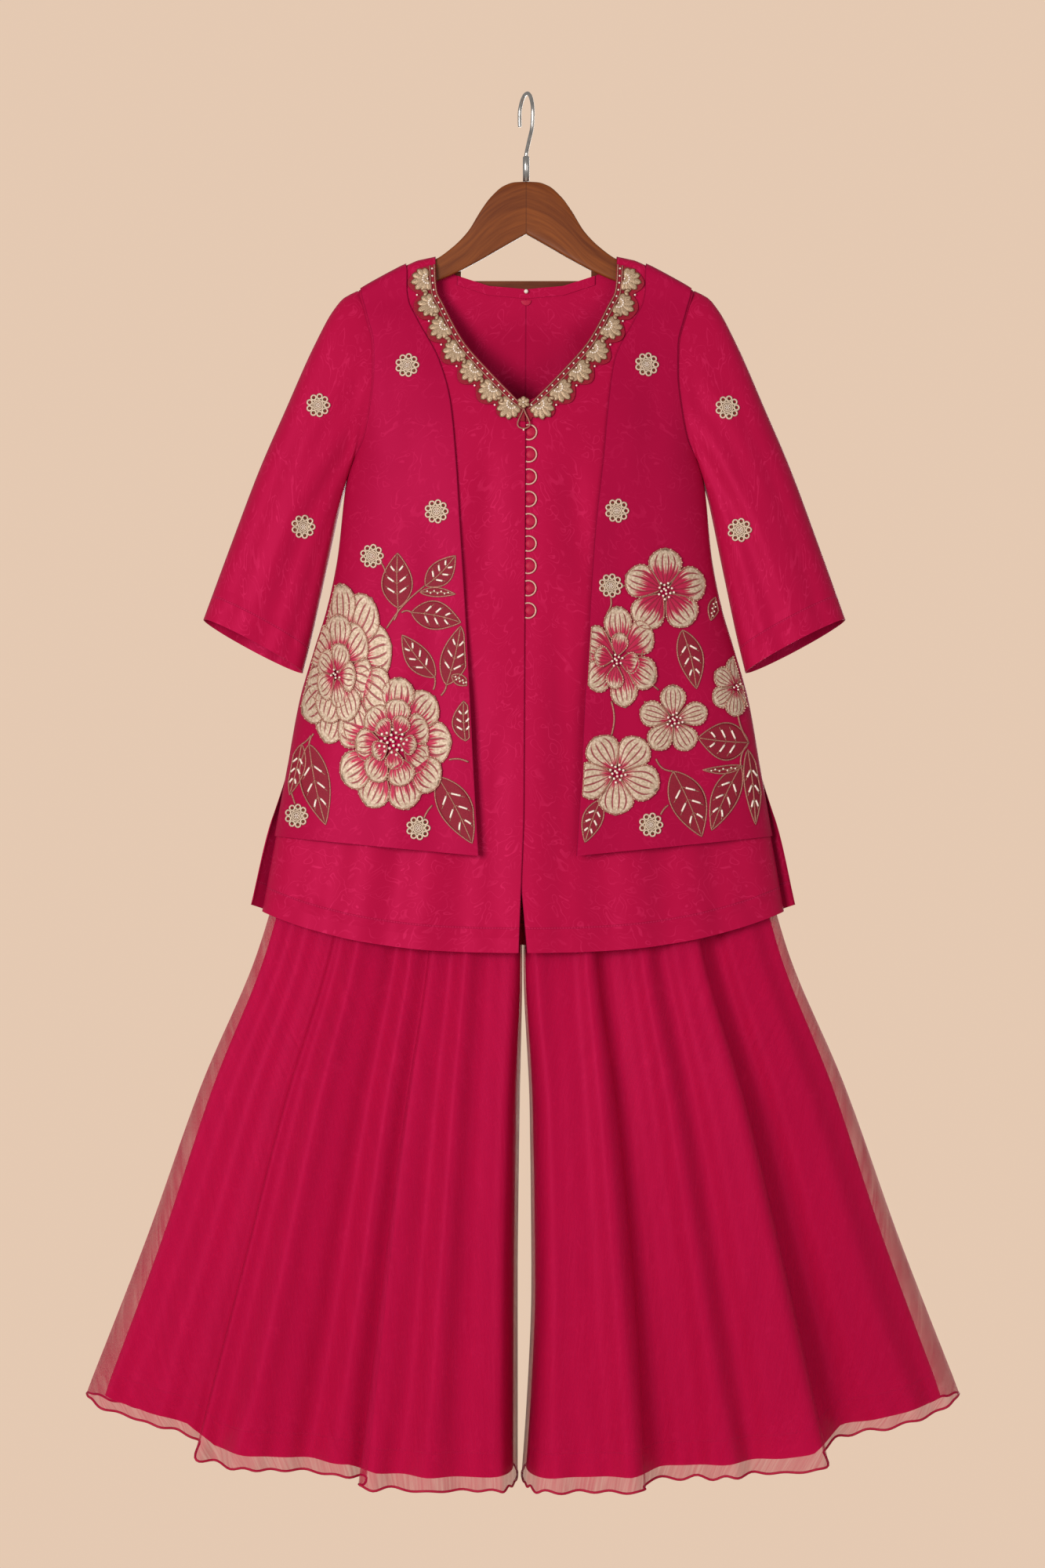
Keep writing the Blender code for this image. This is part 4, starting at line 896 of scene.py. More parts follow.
# x z: the bead cluster's place. beads: how many. size: a bead's radius.
FLOWER_CENTRES = table(
    "x z beads size",
    (-0.2010, -0.6220, 7, 0.0013),
    (-0.1395, -0.6930, 26, 0.0017),
    (0.1467, -0.5325, 16, 0.0014),
    (0.0950, -0.6070, 9, 0.0014),
    (0.1558, -0.6703, 14, 0.0014),
    (0.0955, -0.7259, 16, 0.0015),
    (0.2230, -0.6346, 5, 0.0012),
)
# x0 z0: a leaf's foot. x1 z1: its tip. half: half its width. bow: how far its middle bends aside.
LEAVES = table(
    "x0 z0 x1 z1 half bow",
    (-0.1355, -0.5508, -0.1363, -0.4927, 0.0162, 0.0010),
    (-0.1064, -0.5275, -0.0749, -0.4960, 0.0124, -0.0020),
    (-0.1123, -0.5342, -0.0749, -0.5367, 0.0048, 0.0010),
    (-0.1214, -0.5558, -0.0691, -0.5666, 0.0149, 0.0020),
    (-0.0965, -0.6247, -0.1313, -0.5798, 0.0124, 0.0020),
    (-0.0840, -0.6329, -0.0691, -0.5707, 0.0141, -0.0015),
    (-0.0786, -0.6230, -0.0600, -0.6329, 0.0056, 0.0000),
    (-0.0640, -0.6919, -0.0660, -0.6500, 0.0120, 0.0010),
    (-0.0932, -0.7301, -0.0570, -0.8000, 0.0174, 0.0020),
    (-0.2309, -0.6952, -0.2127, -0.7807, 0.0158, -0.0020),
    (-0.2390, -0.6952, -0.2520, -0.7491, 0.0085, 0.0010),
    (0.1658, -0.5740, 0.1807, -0.6363, 0.0133, 0.0020),
    (0.2371, -0.6935, 0.1824, -0.6886, 0.0199, 0.0010),
    (0.2305, -0.7184, 0.1873, -0.7226, 0.0041, 0.0020),
    (0.2280, -0.7184, 0.1965, -0.7865, 0.0141, -0.0020),
    (0.2360, -0.7010, 0.2440, -0.7807, 0.0090, 0.0015),
    (0.1558, -0.7242, 0.1857, -0.7931, 0.0187, 0.0020),
    (0.0786, -0.7541, 0.0620, -0.7990, 0.0104, -0.0010),
    (0.2023, -0.5383, 0.1965, -0.5632, 0.0058, 0.0000),
)
STEMS = table(
    "x0 z0 x1 z1 bow",
    (-0.1479, -0.5724, -0.1073, -0.5275, 0.0030),
    (-0.1355, -0.5508, -0.1400, -0.5640, 0.0010),
    (-0.1214, -0.5558, -0.1320, -0.5560, -0.0020),
    (-0.1637, -0.4952, -0.1488, -0.5134, 0.0030),
    (-0.0815, -0.7118, -0.0610, -0.7143, 0.0020),
    (-0.0965, -0.6247, -0.0981, -0.6379, 0.0010),
    (-0.0840, -0.6329, -0.0900, -0.6440, 0.0010),
    (-0.2309, -0.6952, -0.2260, -0.6840, 0.0010),
    (-0.2390, -0.6952, -0.2290, -0.6860, -0.0010),
    (-0.2459, -0.7590, -0.2500, -0.7470, 0.0000),
    (-0.1080, -0.7740, -0.0990, -0.7600, 0.0010),
    (0.0894, -0.5400, 0.0860, -0.5560, 0.0020),
    (0.1010, -0.5290, 0.1080, -0.5300, 0.0020),
    (0.1230, -0.5960, 0.1400, -0.6380, -0.0080),
    (0.1250, -0.6500, 0.1350, -0.6560, -0.0020),
    (0.0900, -0.6500, 0.0900, -0.6860, 0.0030),
    (0.1370, -0.7110, 0.1558, -0.7242, -0.0040),
    (0.0786, -0.7541, 0.0850, -0.7440, 0.0010),
    (0.2250, -0.6620, 0.2371, -0.6935, -0.0020),
    (0.2371, -0.6935, 0.2280, -0.7184, -0.0030),
    (0.1420, -0.7700, 0.1500, -0.7600, 0.0010),
)
BEAD_FLOWERS = {
    "jacket_front_left": table(
        "x z",
        (-0.1264, -0.2919),
        (-0.0948, -0.4487),
        (-0.1637, -0.4952),
        (-0.2440, -0.7715),
        (-0.1139, -0.7840),
    ),
    "jacket_front_right": table(
        "x z",
        (0.1284, -0.2910),
        (0.0961, -0.4479),
        (0.0894, -0.5275),
        (0.1317, -0.7807),
    ),
    "sleeve_left": table("x z", (-0.2217, -0.3338), (-0.2376, -0.4634)),
    "sleeve_right": table("x z", (0.2146, -0.3363), (0.2280, -0.4667)),
}
SEWN_MARGIN = 0.0030
OUTLINE_THREAD = 0.00080
STEM_THREAD = 0.0010
LOBES = 9
LOBE_OUT = 0.0095
LOBE_RADIUS = 0.0027
BUTTON_TOP = -0.3646
BUTTON_PITCH = 0.02366
BUTTON_COUNT = 9
BUTTON_RADIUS = 0.0052
BUTTON_SQUASH = 0.36
GOLDEN_ANGLE = 2.39996
LOOP_X = 0.0040
LOOP_RADIUS = 0.0080
CORD_RADIUS = 0.0009
LOOP_HALF_ANGLE = radians(112)


def ring_quads(points):
    """Quads between neighbouring rings of points; the axes end with row, place on the ring and xyz."""
    ids = np.arange(points[..., 0].size).reshape(points.shape[:-1])
    near = np.roll(ids, -1, axis=-1)
    quads = (ids[..., :-1, :], near[..., :-1, :], near[..., 1:, :], ids[..., 1:, :])
    return np.stack(quads, axis=-1).reshape(-1, 4).tolist()


def tubes(paths, radius, sides=6, closed=False):
    """Round cords: at each path point a circle square to the path, of the given radius."""
    paths = np.asarray(paths, dtype=float)
    if closed:
        along = np.roll(paths, -1, axis=1) - np.roll(paths, 1, axis=1)
    else:
        along = np.gradient(paths, axis=1)
    along = along / np.maximum(np.linalg.norm(along, axis=-1, keepdims=True), 1e-12)
    across = np.cross(along, (0.0, -1.0, 0.0))
    across = across / np.maximum(np.linalg.norm(across, axis=-1, keepdims=True), 1e-12)
    up = np.cross(across, along)
    turn = np.linspace(0, 2 * pi, sides, endpoint=False)[:, None]
    ring = np.cos(turn) * across[..., None, :] + np.sin(turn) * up[..., None, :]
    size = np.broadcast_to(radius, paths.shape[:2])[..., None, None]
    points = paths[:, :, None, :] + ring * size
    ids = np.arange(points[..., 0].size).reshape(points.shape[:3])
    ahead = np.roll(ids, -1, axis=1)
    if not closed:
        ids, ahead = ids[:, :-1], ahead[:, :-1]
    faces = np.stack((ids, np.roll(ids, -1, 2), np.roll(ahead, -1, 2), ahead), axis=-1)
    faces = faces.reshape(-1, 4).tolist()
    if not closed:
        whole = np.arange(points[..., 0].size).reshape(points.shape[:3])
        faces += whole[:, 0].tolist() + whole[:, -1, ::-1].tolist()
    return points.reshape(-1, 3), faces


def balls(centres, radius, segments=6, rings=4, squash=1.0):
    """Beads: a sphere's points at each centre, flattened along Y by squash."""
    centres = np.asarray(centres, dtype=float).reshape(-1, 3)
    polar = np.linspace(0, pi, rings + 1)[1:-1, None]
    turn = np.linspace(0, 2 * pi, segments, endpoint=False)
    x = np.sin(polar) * np.cos(turn)
    z = np.sin(polar) * np.sin(turn)
    y = np.cos(polar) * np.ones(segments)
    shell = np.stack((x, y, z), axis=-1).reshape(-1, 3)
    shell = np.concatenate(([[0.0, 1.0, 0.0]], shell, [[0.0, -1.0, 0.0]]))
    shell = shell * (1, squash, 1)
    size = np.broadcast_to(radius, len(centres))[:, None, None]
    points = centres[:, None, :] + shell * size
    ids = np.arange(1, 1 + (rings - 1) * segments).reshape(rings - 1, segments)
    near = np.roll(ids, -1, axis=1)
    last = len(shell) - 1
    quads = np.stack((ids[:-1], near[:-1], near[1:], ids[1:]), axis=-1).reshape(-1, 4)
    first_cap = np.stack((np.zeros(segments, dtype=int), near[0], ids[0]), axis=-1)
    last_cap = np.stack((np.full(segments, last), ids[-1], near[-1]), axis=-1)
    steps = np.arange(len(centres))[:, None, None] * len(shell)
    faces = []
    for part in (quads, first_cap, last_cap):
        faces += (part + steps).reshape(-1, part.shape[1]).tolist()
    return points.reshape(-1, 3), faces


def joined(name, parts, finish, replaces=()):
    """One closed piece from several sets of points and faces, with seams and poles welded."""
    points, faces, uv, count = [], [], [], 0
    for part in parts:
        own_points, own_faces = part[:2]
        points.append(own_points)
        faces += [[count + i for i in face] for face in own_faces]
        uv.append(part[2] if len(part) > 2 else np.zeros((len(own_points), 2)))
        count += len(own_points)
    piece = new_mesh(name, np.concatenate(points), faces, FINISHES[finish], np.concatenate(uv))
    bm = bmesh.new()
    bm.from_mesh(piece.data)
    bmesh.ops.remove_doubles(bm, verts=bm.verts, dist=WELD)
    bmesh.ops.dissolve_degenerate(bm, edges=bm.edges, dist=WELD)
    bmesh.ops.recalc_face_normals(bm, faces=bm.faces)
    bm.to_mesh(piece.data)
    bm.free()
    piece.data.shade_smooth()
    if replaces:
        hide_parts(*replaces)
    return piece


def within_panel(x, z, name):
    """x kept between a jacket front's free edge and its side seam, as sewing is cut off there."""
    side = -1 if name == "left" else 1
    inner = np.interp(-z, -JACKET_ROWS["middle_z"], JACKET_ROWS[name + "_x"])
    edge = at_height(BODY, "edge", z)
    own = (x - sway(z)) * side
    own = np.clip(own, inner + SEWN_MARGIN, edge - SEWN_MARGIN)
    return side * own + sway(z)


def petal_shape(t):
    """Half width along a petal, 0 at both ends and widest past its middle: sin(pi t**1.5)**0.6."""
    return np.maximum(np.sin(pi * np.clip(t, 0, 1) ** 1.5), 0) ** 0.6


def petal_ring(ring, name, read, rng):
    """One ring's petals as pillows with a rim cord, all sewn on the panel.

    A petal's point is centre + direction * (start + reach * t) + sideways * s * half * shape(t).
    Round its section s = cos(a), and the padding stands up by sin(a)**0.7.
    """
    x, z, wide, tall, turn, petals, start, reach, half, lift, _ = ring
    count = int(petals)
    angle = radians(turn) + 2 * pi * np.arange(count) / count + rng.uniform(-0.07, 0.07, count)
    long = reach * rng.uniform(0.92, 1.0, count)
    broad = half * rng.uniform(0.94, 1.06, count)
    stack = lift + 0.0005 * (np.arange(count) % 3)
    t = np.linspace(0, 1, 23) ** 0.9

    def spot(t, s, height):
        """t, s and height as arrays with petals first."""
        shape = (count,) + (1,) * (t.ndim - 1)
        way = angle.reshape(shape)
        dip = 1 - 0.07 * t**6 * np.exp(-((s / 0.30) ** 2)) + 0.02 * np.sin(9 * s + way * 3) * t**4
        out = start + long.reshape(shape) * t * dip
        aside = s * broad.reshape(shape) * petal_shape(t)
        px = x + wide * (np.cos(way) * out - np.sin(way) * aside)
        pz = z + tall * (np.sin(way) * out + np.cos(way) * aside)
        if name:
            px = within_panel(px, pz, name)
        return seated(read, px, pz, height + stack.reshape(shape))

    around = np.linspace(0, 2 * pi, 18, endpoint=False)
    s = np.cos(around)[None, None, :] + 0 * t[None, :, None] + np.zeros((count, 1, 1))
    tt = t[None, :, None] + 0 * s
    up = np.sin(around)[None, None, :]
    pad = 0.0011 * np.maximum(up, 0) ** 0.7 * (0.35 + 0.65 * np.sin(pi * tt) ** 0.5)
    height = pad + 0.0006 * np.minimum(up, 0)
    points = spot(tt, s, height)
    number = np.arange(count)[:, None, None] + 0 * s
    uv = np.stack((s * 0.5 + 0.5 + 2 * number, tt), axis=-1)
    pillows = (points.reshape(-1, 3), ring_quads(points), uv.reshape(-1, 2))
    edge_t = np.concatenate((np.linspace(0.04, 1, 24), np.linspace(1, 0.04, 24)[1:]))
    edge_s = np.concatenate((np.ones(24), -np.ones(23)))
    rim_t = edge_t[None, :] + np.zeros((count, 1))
    rim = spot(rim_t, edge_s[None, :] + 0 * rim_t, 0.0005 + 0 * rim_t)
    bead_t = np.concatenate((np.linspace(0.45, 0.97, 6), np.linspace(0.97, 0.45, 6)))
    bead_s = np.concatenate((np.ones(6), -np.ones(6))) * 1.02
    bead_t = bead_t[None, :] + np.zeros((count, 1))
    beads = spot(bead_t, bead_s[None, :] + 0 * bead_t, 0.0010 + 0 * bead_t)
    return pillows, rim, beads.reshape(-1, 3)


def make_flowers(maps):
    """The large flowers, their rim cords, rim beads and centres."""
    rng = np.random.default_rng(7)
    rims, beads = [], []
    for flower, rings in PETAL_RINGS.items():
        name = "left" if rings["x"][0] < 0 else "right"
        read = maps[f"jacket_front_{name}"]
        pillows = []
        for ring in zip(*rings.values()):
            shape, rim, dots = petal_ring(ring, name, read, rng)
            shape[2][:, 1] += 2 * np.floor(ring[-1] * 4)
            pillows.append(shape)
            rims.append(tubes(rim, OUTLINE_THREAD))
            beads.append(dots)
        replaces = (flower,) if flower.startswith("flower_") else ()
        joined(f"{flower}_petals", pillows, "petal_thread", replaces)
    centres = []
    for x, z, count, size in zip(*FLOWER_CENTRES.values()):
        name = "left" if x < 0 else "right"
        number = np.arange(int(count))
        spread = 1.75 * size * np.sqrt(number)
        turn = number * GOLDEN_ANGLE
        px = within_panel(x + spread * np.cos(turn), z + spread * np.sin(turn), name)
        pz = z + spread * np.sin(turn)
        dots = seated(maps[f"jacket_front_{name}"], px, pz, 0.0048 + 0 * px)
        centres.append(balls(dots, size))
    joined("petal_rims", rims, "rose_gold_thread")
    joined("petal_rim_beads", [balls(np.concatenate(beads), 0.0010)], "rose_gold_bead")
    joined("flower_centres", centres, "bead")


def leaf_line(x0, z0, x1, z1, bow, t):
    """A leaf's or stem's middle line: straight from foot to tip, bent aside by bow * sin(pi t)."""
    long = np.hypot(x1 - x0, z1 - z0)
    aside_x, aside_z = -(z1 - z0) / long, (x1 - x0) / long
    bend = bow * np.sin(pi * t)
    return x0 + (x1 - x0) * t + aside_x * bend, z0 + (z1 - z0) * t + aside_z * bend, aside_x, aside_z


def make_leaves(maps):
    """Leaves: a fine net ground, an outline, a middle vein and rows of beads beside it."""
    grounds, lines, beads, rods = [], [], [], []
    around = np.linspace(0, 2 * pi, 12, endpoint=False)[None, :]
    for x0, z0, x1, z1, half, bow in zip(*LEAVES.values()):
        name = "left" if x0 < 0 else "right"
        read = maps[f"jacket_front_{name}"]

        def spot(t, s, height):
            """A point t along and s across, out to the leaf's edge at s = 1."""
            x, z, aside_x, aside_z = leaf_line(x0, z0, x1, z1, bow, t)
            width = half * np.sin(pi * np.clip(t, 0, 1) ** 0.85) ** 0.9
            px, pz = x + aside_x * s * width, z + aside_z * s * width
            return seated(read, within_panel(px, pz, name), pz, height)

        t = np.linspace(0, 1, 17)[:, None]
        height = 0.0004 * np.maximum(np.sin(around), 0) + 0.0002 * np.minimum(np.sin(around), 0)
        points = spot(t + 0 * around, np.cos(around) + 0 * t, height + 0.0003 + 0 * t)
        grounds.append((points.reshape(-1, 3), grid_faces(17, 12, True)))
        edge_t = np.concatenate((np.linspace(0, 1, 26), np.linspace(1, 0, 26)[1:-1]))
        edge_s = np.concatenate((np.ones(26), -np.ones(24)))
        lines.append(tubes(spot(edge_t, edge_s, 0.0006 + 0 * edge_t)[None], OUTLINE_THREAD, closed=True))
        vein = np.linspace(0, 0.97, 20)
        lines.append(tubes(spot(vein, 0 * vein, 0.0008 + 0 * vein)[None], OUTLINE_THREAD * 0.9))
        if half < 0.006:
            dot_t = np.linspace(0.2, 0.8, 7)
            beads.append(spot(dot_t, 0.25 * np.cos(pi * np.arange(7)), 0.0011 + 0 * dot_t))
            continue
        root = np.repeat((0.24, 0.44, 0.64), 2)[:, None]
        flank = np.tile((1.0, -1.0), 3)[:, None]
        step = np.linspace(0.20, 0.62, 4)[None, :]
        rib_t = root + 0.17 * np.linspace(0, 1, 8)[None, :]
        ribs = spot(rib_t, flank * np.linspace(0, 0.8, 8), 0.0006 + 0 * root)
        lines.append(tubes(ribs, OUTLINE_THREAD * 0.6, sides=5))
        rods.append(tubes(spot(root + 0.20 * step, flank * step, 0.0013 + 0 * step * root), 0.0011))
    for x0, z0, x1, z1, bow in zip(*STEMS.values()):
        name = "left" if x0 < 0 else "right"
        t = np.linspace(0, 1, 14)
        x, z, _, _ = leaf_line(x0, z0, x1, z1, bow, t)
        path = seated(maps[f"jacket_front_{name}"], within_panel(x, z, name), z, 0.0006 + 0 * t)
        lines.append(tubes(path[None], STEM_THREAD))
    joined("leaf_grounds", grounds, "leaf_net")
    joined("leaf_outlines", lines, "rose_gold_thread")
    joined("leaf_beads", [balls(np.concatenate(beads), 0.0011), *rods], "bead")


def make_bead_flowers(maps):
    """Round flowers of nine looped lobes about a ringed centre, spread over fronts and sleeves."""
    turn = np.linspace(0, 2 * pi, 14, endpoint=False)
    lobe = 2 * pi * np.arange(LOBES) / LOBES
    rings, dots, grounds = [], [], []
    for name, spots in BEAD_FLOWERS.items():
        read = maps[name]
        for x, z in zip(spots["x"], spots["z"]):
            lift = 0.0011
            px = x + (LOBE_OUT * np.cos(lobe))[:, None] + LOBE_RADIUS * np.cos(turn)
            pz = z + (LOBE_OUT * np.sin(lobe))[:, None] + LOBE_RADIUS * np.sin(turn)
            rings.append(tubes(seated(read, px, pz, lift + 0 * px), 0.00105, 5, closed=True))
            fine = np.linspace(0, 2 * pi, 26, endpoint=False)
            for radius in (0.0054, 0.0036):
                px, pz = x + radius * np.cos(fine), z + radius * np.sin(fine)
                rings.append(tubes(seated(read, px, pz, lift + 0 * px)[None], 0.0008, 5, closed=True))
            dots.append(seated(read, np.array([x]), np.array([z]), np.array([0.0012])))
            small = np.arange(6) * pi / 3
            px, pz = x + 0.0019 * np.cos(small), z + 0.0019 * np.sin(small)
            dots.append(seated(read, px, pz, 0.0009 + 0 * px))
            around = np.linspace(0, 2 * pi, 37)[:-1]
            edge = LOBE_OUT + 0.0008 * np.cos(LOBES * around)
            share = np.array((0.02, 0.5, 1.0))[:, None]
            px, pz = x + share * edge * np.cos(around), z + share * edge * np.sin(around)
            top = seated(read, px, pz, 0.0007 - 0.0003 * share + 0 * px)
            low = seated(read, px, pz, 0.0001 + 0 * px)
            both = np.concatenate((top, low[::-1]))
            caps = [list(range(36)), list(range(180, 216))]
            grounds.append((both.reshape(-1, 3), grid_faces(6, 36, True) + caps))
    joined("bead_flower_rings", rings, "ivory_thread")
    joined("bead_flower_dots", [balls(np.concatenate(dots), 0.0009)], "bead")
    joined("bead_flower_grounds", grounds, "dark_gold_thread")


def band_spot(along, across, side):
    """x and z on a neck band: along it from the shoulder to the point, across from the V outwards."""
    place = band_place(np.asarray(along))
    shape = np.broadcast(place, across).shape
    flat = np.broadcast_to(place, shape).ravel()
    get = {key: through_rows(col, flat).reshape(shape) for key, col in BAND_ROWS.items()}
    x = get["inner_x"] + (get["outer_x"] - get["inner_x"]) * across
    z = get["inner_z"] + (get["outer_z"] - get["inner_z"]) * across
    return side * np.maximum(x, 0.0012) + sway(z), z


def band_ray(along, start, end, side):
    """A spot on a neck band, and the direction from it straight across the band."""
    foot = band_spot(np.array([along]), np.array([start]), side)
    head = band_spot(np.array([along]), np.array([end]), side)
    return foot, np.arctan2(head[1] - foot[1], head[0] - foot[0])


def small_petals(read, x, z, way, long, half, lift):
    """Little pillows from x, z in the direction way: arrays of the same length."""
    t = np.linspace(0, 1, 10)[None, :, None]
    around = np.linspace(0, 2 * pi, 8, endpoint=False)[None, None, :]
    way, long, half = (np.asarray(v, dtype=float)[:, None, None] for v in (way, long, half))
    out = long * t
    aside = half * petal_shape(t) * np.cos(around)
    px = np.asarray(x)[:, None, None] + np.cos(way) * out - np.sin(way) * aside
    pz = np.asarray(z)[:, None, None] + np.sin(way) * out + np.cos(way) * aside
    up = np.maximum(np.sin(around), 0) * 0.0013 + np.minimum(np.sin(around), 0) * 0.0004
    points = seated(read, px, pz, lift + up * np.sin(pi * t) ** 0.5 + 0 * px)
    uv_across = np.broadcast_to(np.cos(around) * 0.5 + 0.5, px.shape)
    uv = np.stack((uv_across, np.broadcast_to(t, px.shape)), axis=-1)
    rim_t = np.concatenate((np.linspace(0, 1, 9), np.linspace(1, 0, 9)[1:]))[None, :]
    rim_s = np.concatenate((np.ones(9), -np.ones(8)))[None, :]
    way, long, half = way[..., 0], long[..., 0], half[..., 0]
    out, aside = long * rim_t, half * petal_shape(rim_t) * rim_s
    px = np.asarray(x)[:, None] + np.cos(way) * out - np.sin(way) * aside
    pz = np.asarray(z)[:, None] + np.sin(way) * out + np.cos(way) * aside
    rims = tubes(seated(read, px, pz, lift + 0.0003 + 0 * px), 0.0004, 5)
    return (points.reshape(-1, 3), ring_quads(points), uv.reshape(-1, 2)), rims


def make_band_embroidery(maps):
    """Seven fans of seven petals on each band, drops and beads between, and two cords along the V."""
    fan = np.radians((-84, -56, -28, 0, 28, 56, 84))
    fan_long = np.array((0.0125, 0.0150, 0.0172, 0.0184, 0.0172, 0.0150, 0.0125))
    petals, rims, cords, beads = [], [], [], []
    for name, side in SIDES:
        read = maps[f"neck_band_{name}"]
        for number in range(BAND_SCALLOPS):
            along = (number + 0.5) / BAND_SCALLOPS
            foot, out = band_ray(along, 0.30, 0.90, side)
            x, z = foot[0] + np.zeros(7), foot[1] + np.zeros(7)
            made, edges = small_petals(read, x, z, out + fan, fan_long, np.full(7, 0.0036), 0.0006)
            petals.append(made)
            rims.append(edges)
            beads.append(seated(read, foot[0], foot[1], np.array([0.0016])))
            bead_x = x + np.cos(out + fan) * 0.0050
            bead_z = z + np.sin(out + fan) * 0.0050
            beads.append(seated(read, bead_x, bead_z, np.full(7, 0.0018)))
            if number == 0:
                continue
            between = number / BAND_SCALLOPS
            foot, out = band_ray(between, 0.34, 0.80, side)
            lean = np.array((-0.55, 0.55))
            x, z = foot[0] + np.zeros(2), foot[1] + np.zeros(2)
            made, edges = small_petals(read, x, z, out + lean, np.full(2, 0.0060), np.full(2, 0.0018), 0.0020)
            petals.append(made)
            rims.append(edges)
            drop = band_spot(np.array([between]), np.array([0.72]), side)
            beads.append(seated(read, *drop, np.array([0.0012])))
        along = np.linspace(0.0, 0.985, 120)
        for across in (0.045, 0.205):
            x, z = band_spot(along, np.full(120, across), side)
            cords.append(tubes(seated(read, x, z, np.full(120, 0.0010))[None], 0.0007))
        along = np.linspace(0.02, 0.96, 24)
        x, z = band_spot(along, np.full(24, 0.125), side)
        beads.append(seated(read, x, z, np.full(24, 0.0012)))
    read = maps["tunic_front_left"]
    x, z = -0.0027, -0.3335
    turn = np.arange(6) * pi / 3 + pi / 6
    made, edges = small_petals(
        read, np.full(6, x), np.full(6, z), turn, np.full(6, 0.0066), np.full(6, 0.0024), 0.0050
    )
    petals.append(made)
    rims.append(edges)
    beads.append(seated(read, np.array([x]), np.array([z]), np.array([0.0064])))
    t = np.linspace(0, 1, 34)
    loop_x = x + 0.0075 * np.sin(2 * pi * t) * np.sin(pi * t) ** 0.5
    loop_z = z - 0.0045 - 0.0232 * np.sin(pi * t) ** 0.9
    cords.append(tubes(seated(read, loop_x, loop_z, np.full(34, 0.0034))[None], 0.0008))
    foot = seated(read, np.array([x]), np.array([z - 0.0290]), np.array([0.0030]))
    beads.append(foot)
    joined("band_petals", petals, "band_gold")
    joined("band_rims", rims, "dark_gold_thread")
    joined("band_cords", cords, "rose_gold_thread")
    joined("band_beads", [balls(np.concatenate(beads), 0.0012)], "bead")


def make_buttons(maps):
    """Nine covered buttons down the front, each in a C of cord from the left front's edge."""
    read = maps["tunic_front_right"]
    angles = np.linspace(-LOOP_HALF_ANGLE, LOOP_HALF_ANGLE, 30)
    for number in range(BUTTON_COUNT):
        z = BUTTON_TOP - BUTTON_PITCH * number
        shift = sway(z)
        node_name = f"button_{number + 1}"
        low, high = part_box(node_name)
        centre = (np.array(low) + np.array(high)) / 2
        dome = balls(centre[None], BUTTON_RADIUS, 24, 14, squash=BUTTON_SQUASH)
        joined(f"{node_name}_cover", [dome], "button_satin", (node_name,))
        x = LOOP_X + shift + LOOP_RADIUS * np.cos(angles)
        path = seated(read, x, z + LOOP_RADIUS * np.sin(angles), CORD_RADIUS + 2 * SEAM + 0 * angles)
        node_name = f"loop_{number + 1}"
        cord = tubes(path[None], CORD_RADIUS, 8)
        joined(f"{node_name}_cord", [cord], "loop_cord", (node_name,))


def make_rolled_hems():
    """A tight rolled edge along each organza hem."""
    for name, line in HEMS.items():
        joined(f"{name}_rolled_hem", [tubes(line[None], ROLLED_EDGE)], "rolled_hem")


def make_hanger():
    """The wooden body with softly rounded edges, and the hook as one smooth wire with its ferrule.

    At each x the body's section is a rounded oblong between the under and the top line:
    z = middle + half_height * sgn(cos a) |cos a|**p and y = half_depth * sgn(sin a) |sin a|**q.
    """
    x = np.linspace(-1, 1, 241)
    x = WOOD_REACH * np.sign(x) * np.abs(x) ** 0.92
    reach = np.abs(x)
    top = smooth(reach, HANGER_TOP["x"], HANGER_TOP["z"])
    order = np.argsort(HANGER_UNDER["x"][:-2])
    under = smooth(reach, HANGER_UNDER["x"][:-2][order], HANGER_UNDER["z"][:-2][order])
    middle, half = (top + under) / 2, (top - under) / 2
    end = np.clip((reach - WOOD_END_START) / (WOOD_REACH - WOOD_END_START), 0, 1)
    close = np.sqrt(np.maximum(1 - end**2, 0))
    turn = np.linspace(0, 2 * pi, 40, endpoint=False)
    up, out = np.cos(turn), np.sin(turn)
    up = np.sign(up) * np.abs(up) ** 0.22
    out = np.sign(out) * np.abs(out) ** 0.42
    z = middle[:, None] + (half * close)[:, None] * up
    y = WOOD_HALF_DEPTH * (0.35 + 0.65 * close)[:, None] * out * np.where(end < 1, 1, 0)[:, None]
    points = np.stack((x[:, None] + 0 * z, y, z), axis=-1)
    length = np.concatenate(([0], np.cumsum(np.hypot(np.diff(x), np.diff(middle)))))
    length = length - length[len(length) // 2]
    uv = np.stack((length[:, None] + 0 * z, up * half[:, None]), axis=-1).reshape(-1, 2)
    body = (points.reshape(-1, 3), ring_quads(points), uv)
    joined("hanger_body", [body], "hanger_wood", ("hanger_wood",))
    path = np.stack(tuple(HOOK_PATH.values()), axis=-1)
    place = np.linspace(0, len(path) - 1, 8 * (len(path) - 1) + 1)
    wire = smooth_path(path, place)
    size = HOOK_RADIUS * np.where(place > len(path) - 1.2, 0.9, 1.0)
    z = np.array([FERRULE_TOP, FERRULE_TOP, FERRULE_TOP - 0.0010, FERRULE_FOOT, FERRULE_FOOT])
    round_out = np.array([0.0001, 0.0028, FERRULE_RADIUS, FERRULE_RADIUS, 0.0001])
    turn = np.linspace(0, 2 * pi, 32, endpoint=False)
    ferrule = np.stack(
        (
            round_out[:, None] * np.cos(turn),
            round_out[:, None] * np.sin(turn),
            z[:, None] + 0 * turn,
        ),
        axis=-1,
    )
    caps = [list(range(32)), list(range(128, 160))]
    ferrule = (ferrule.reshape(-1, 3), grid_faces(5, 32, True) + caps)
    joined("hook_wire", [tubes(wire[None], size[None], 14), ferrule], "steel", ("hanger_hook",))
    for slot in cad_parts["hanger_bar"].material_slots:
        slot.material = FINISHES["bar_wood"]


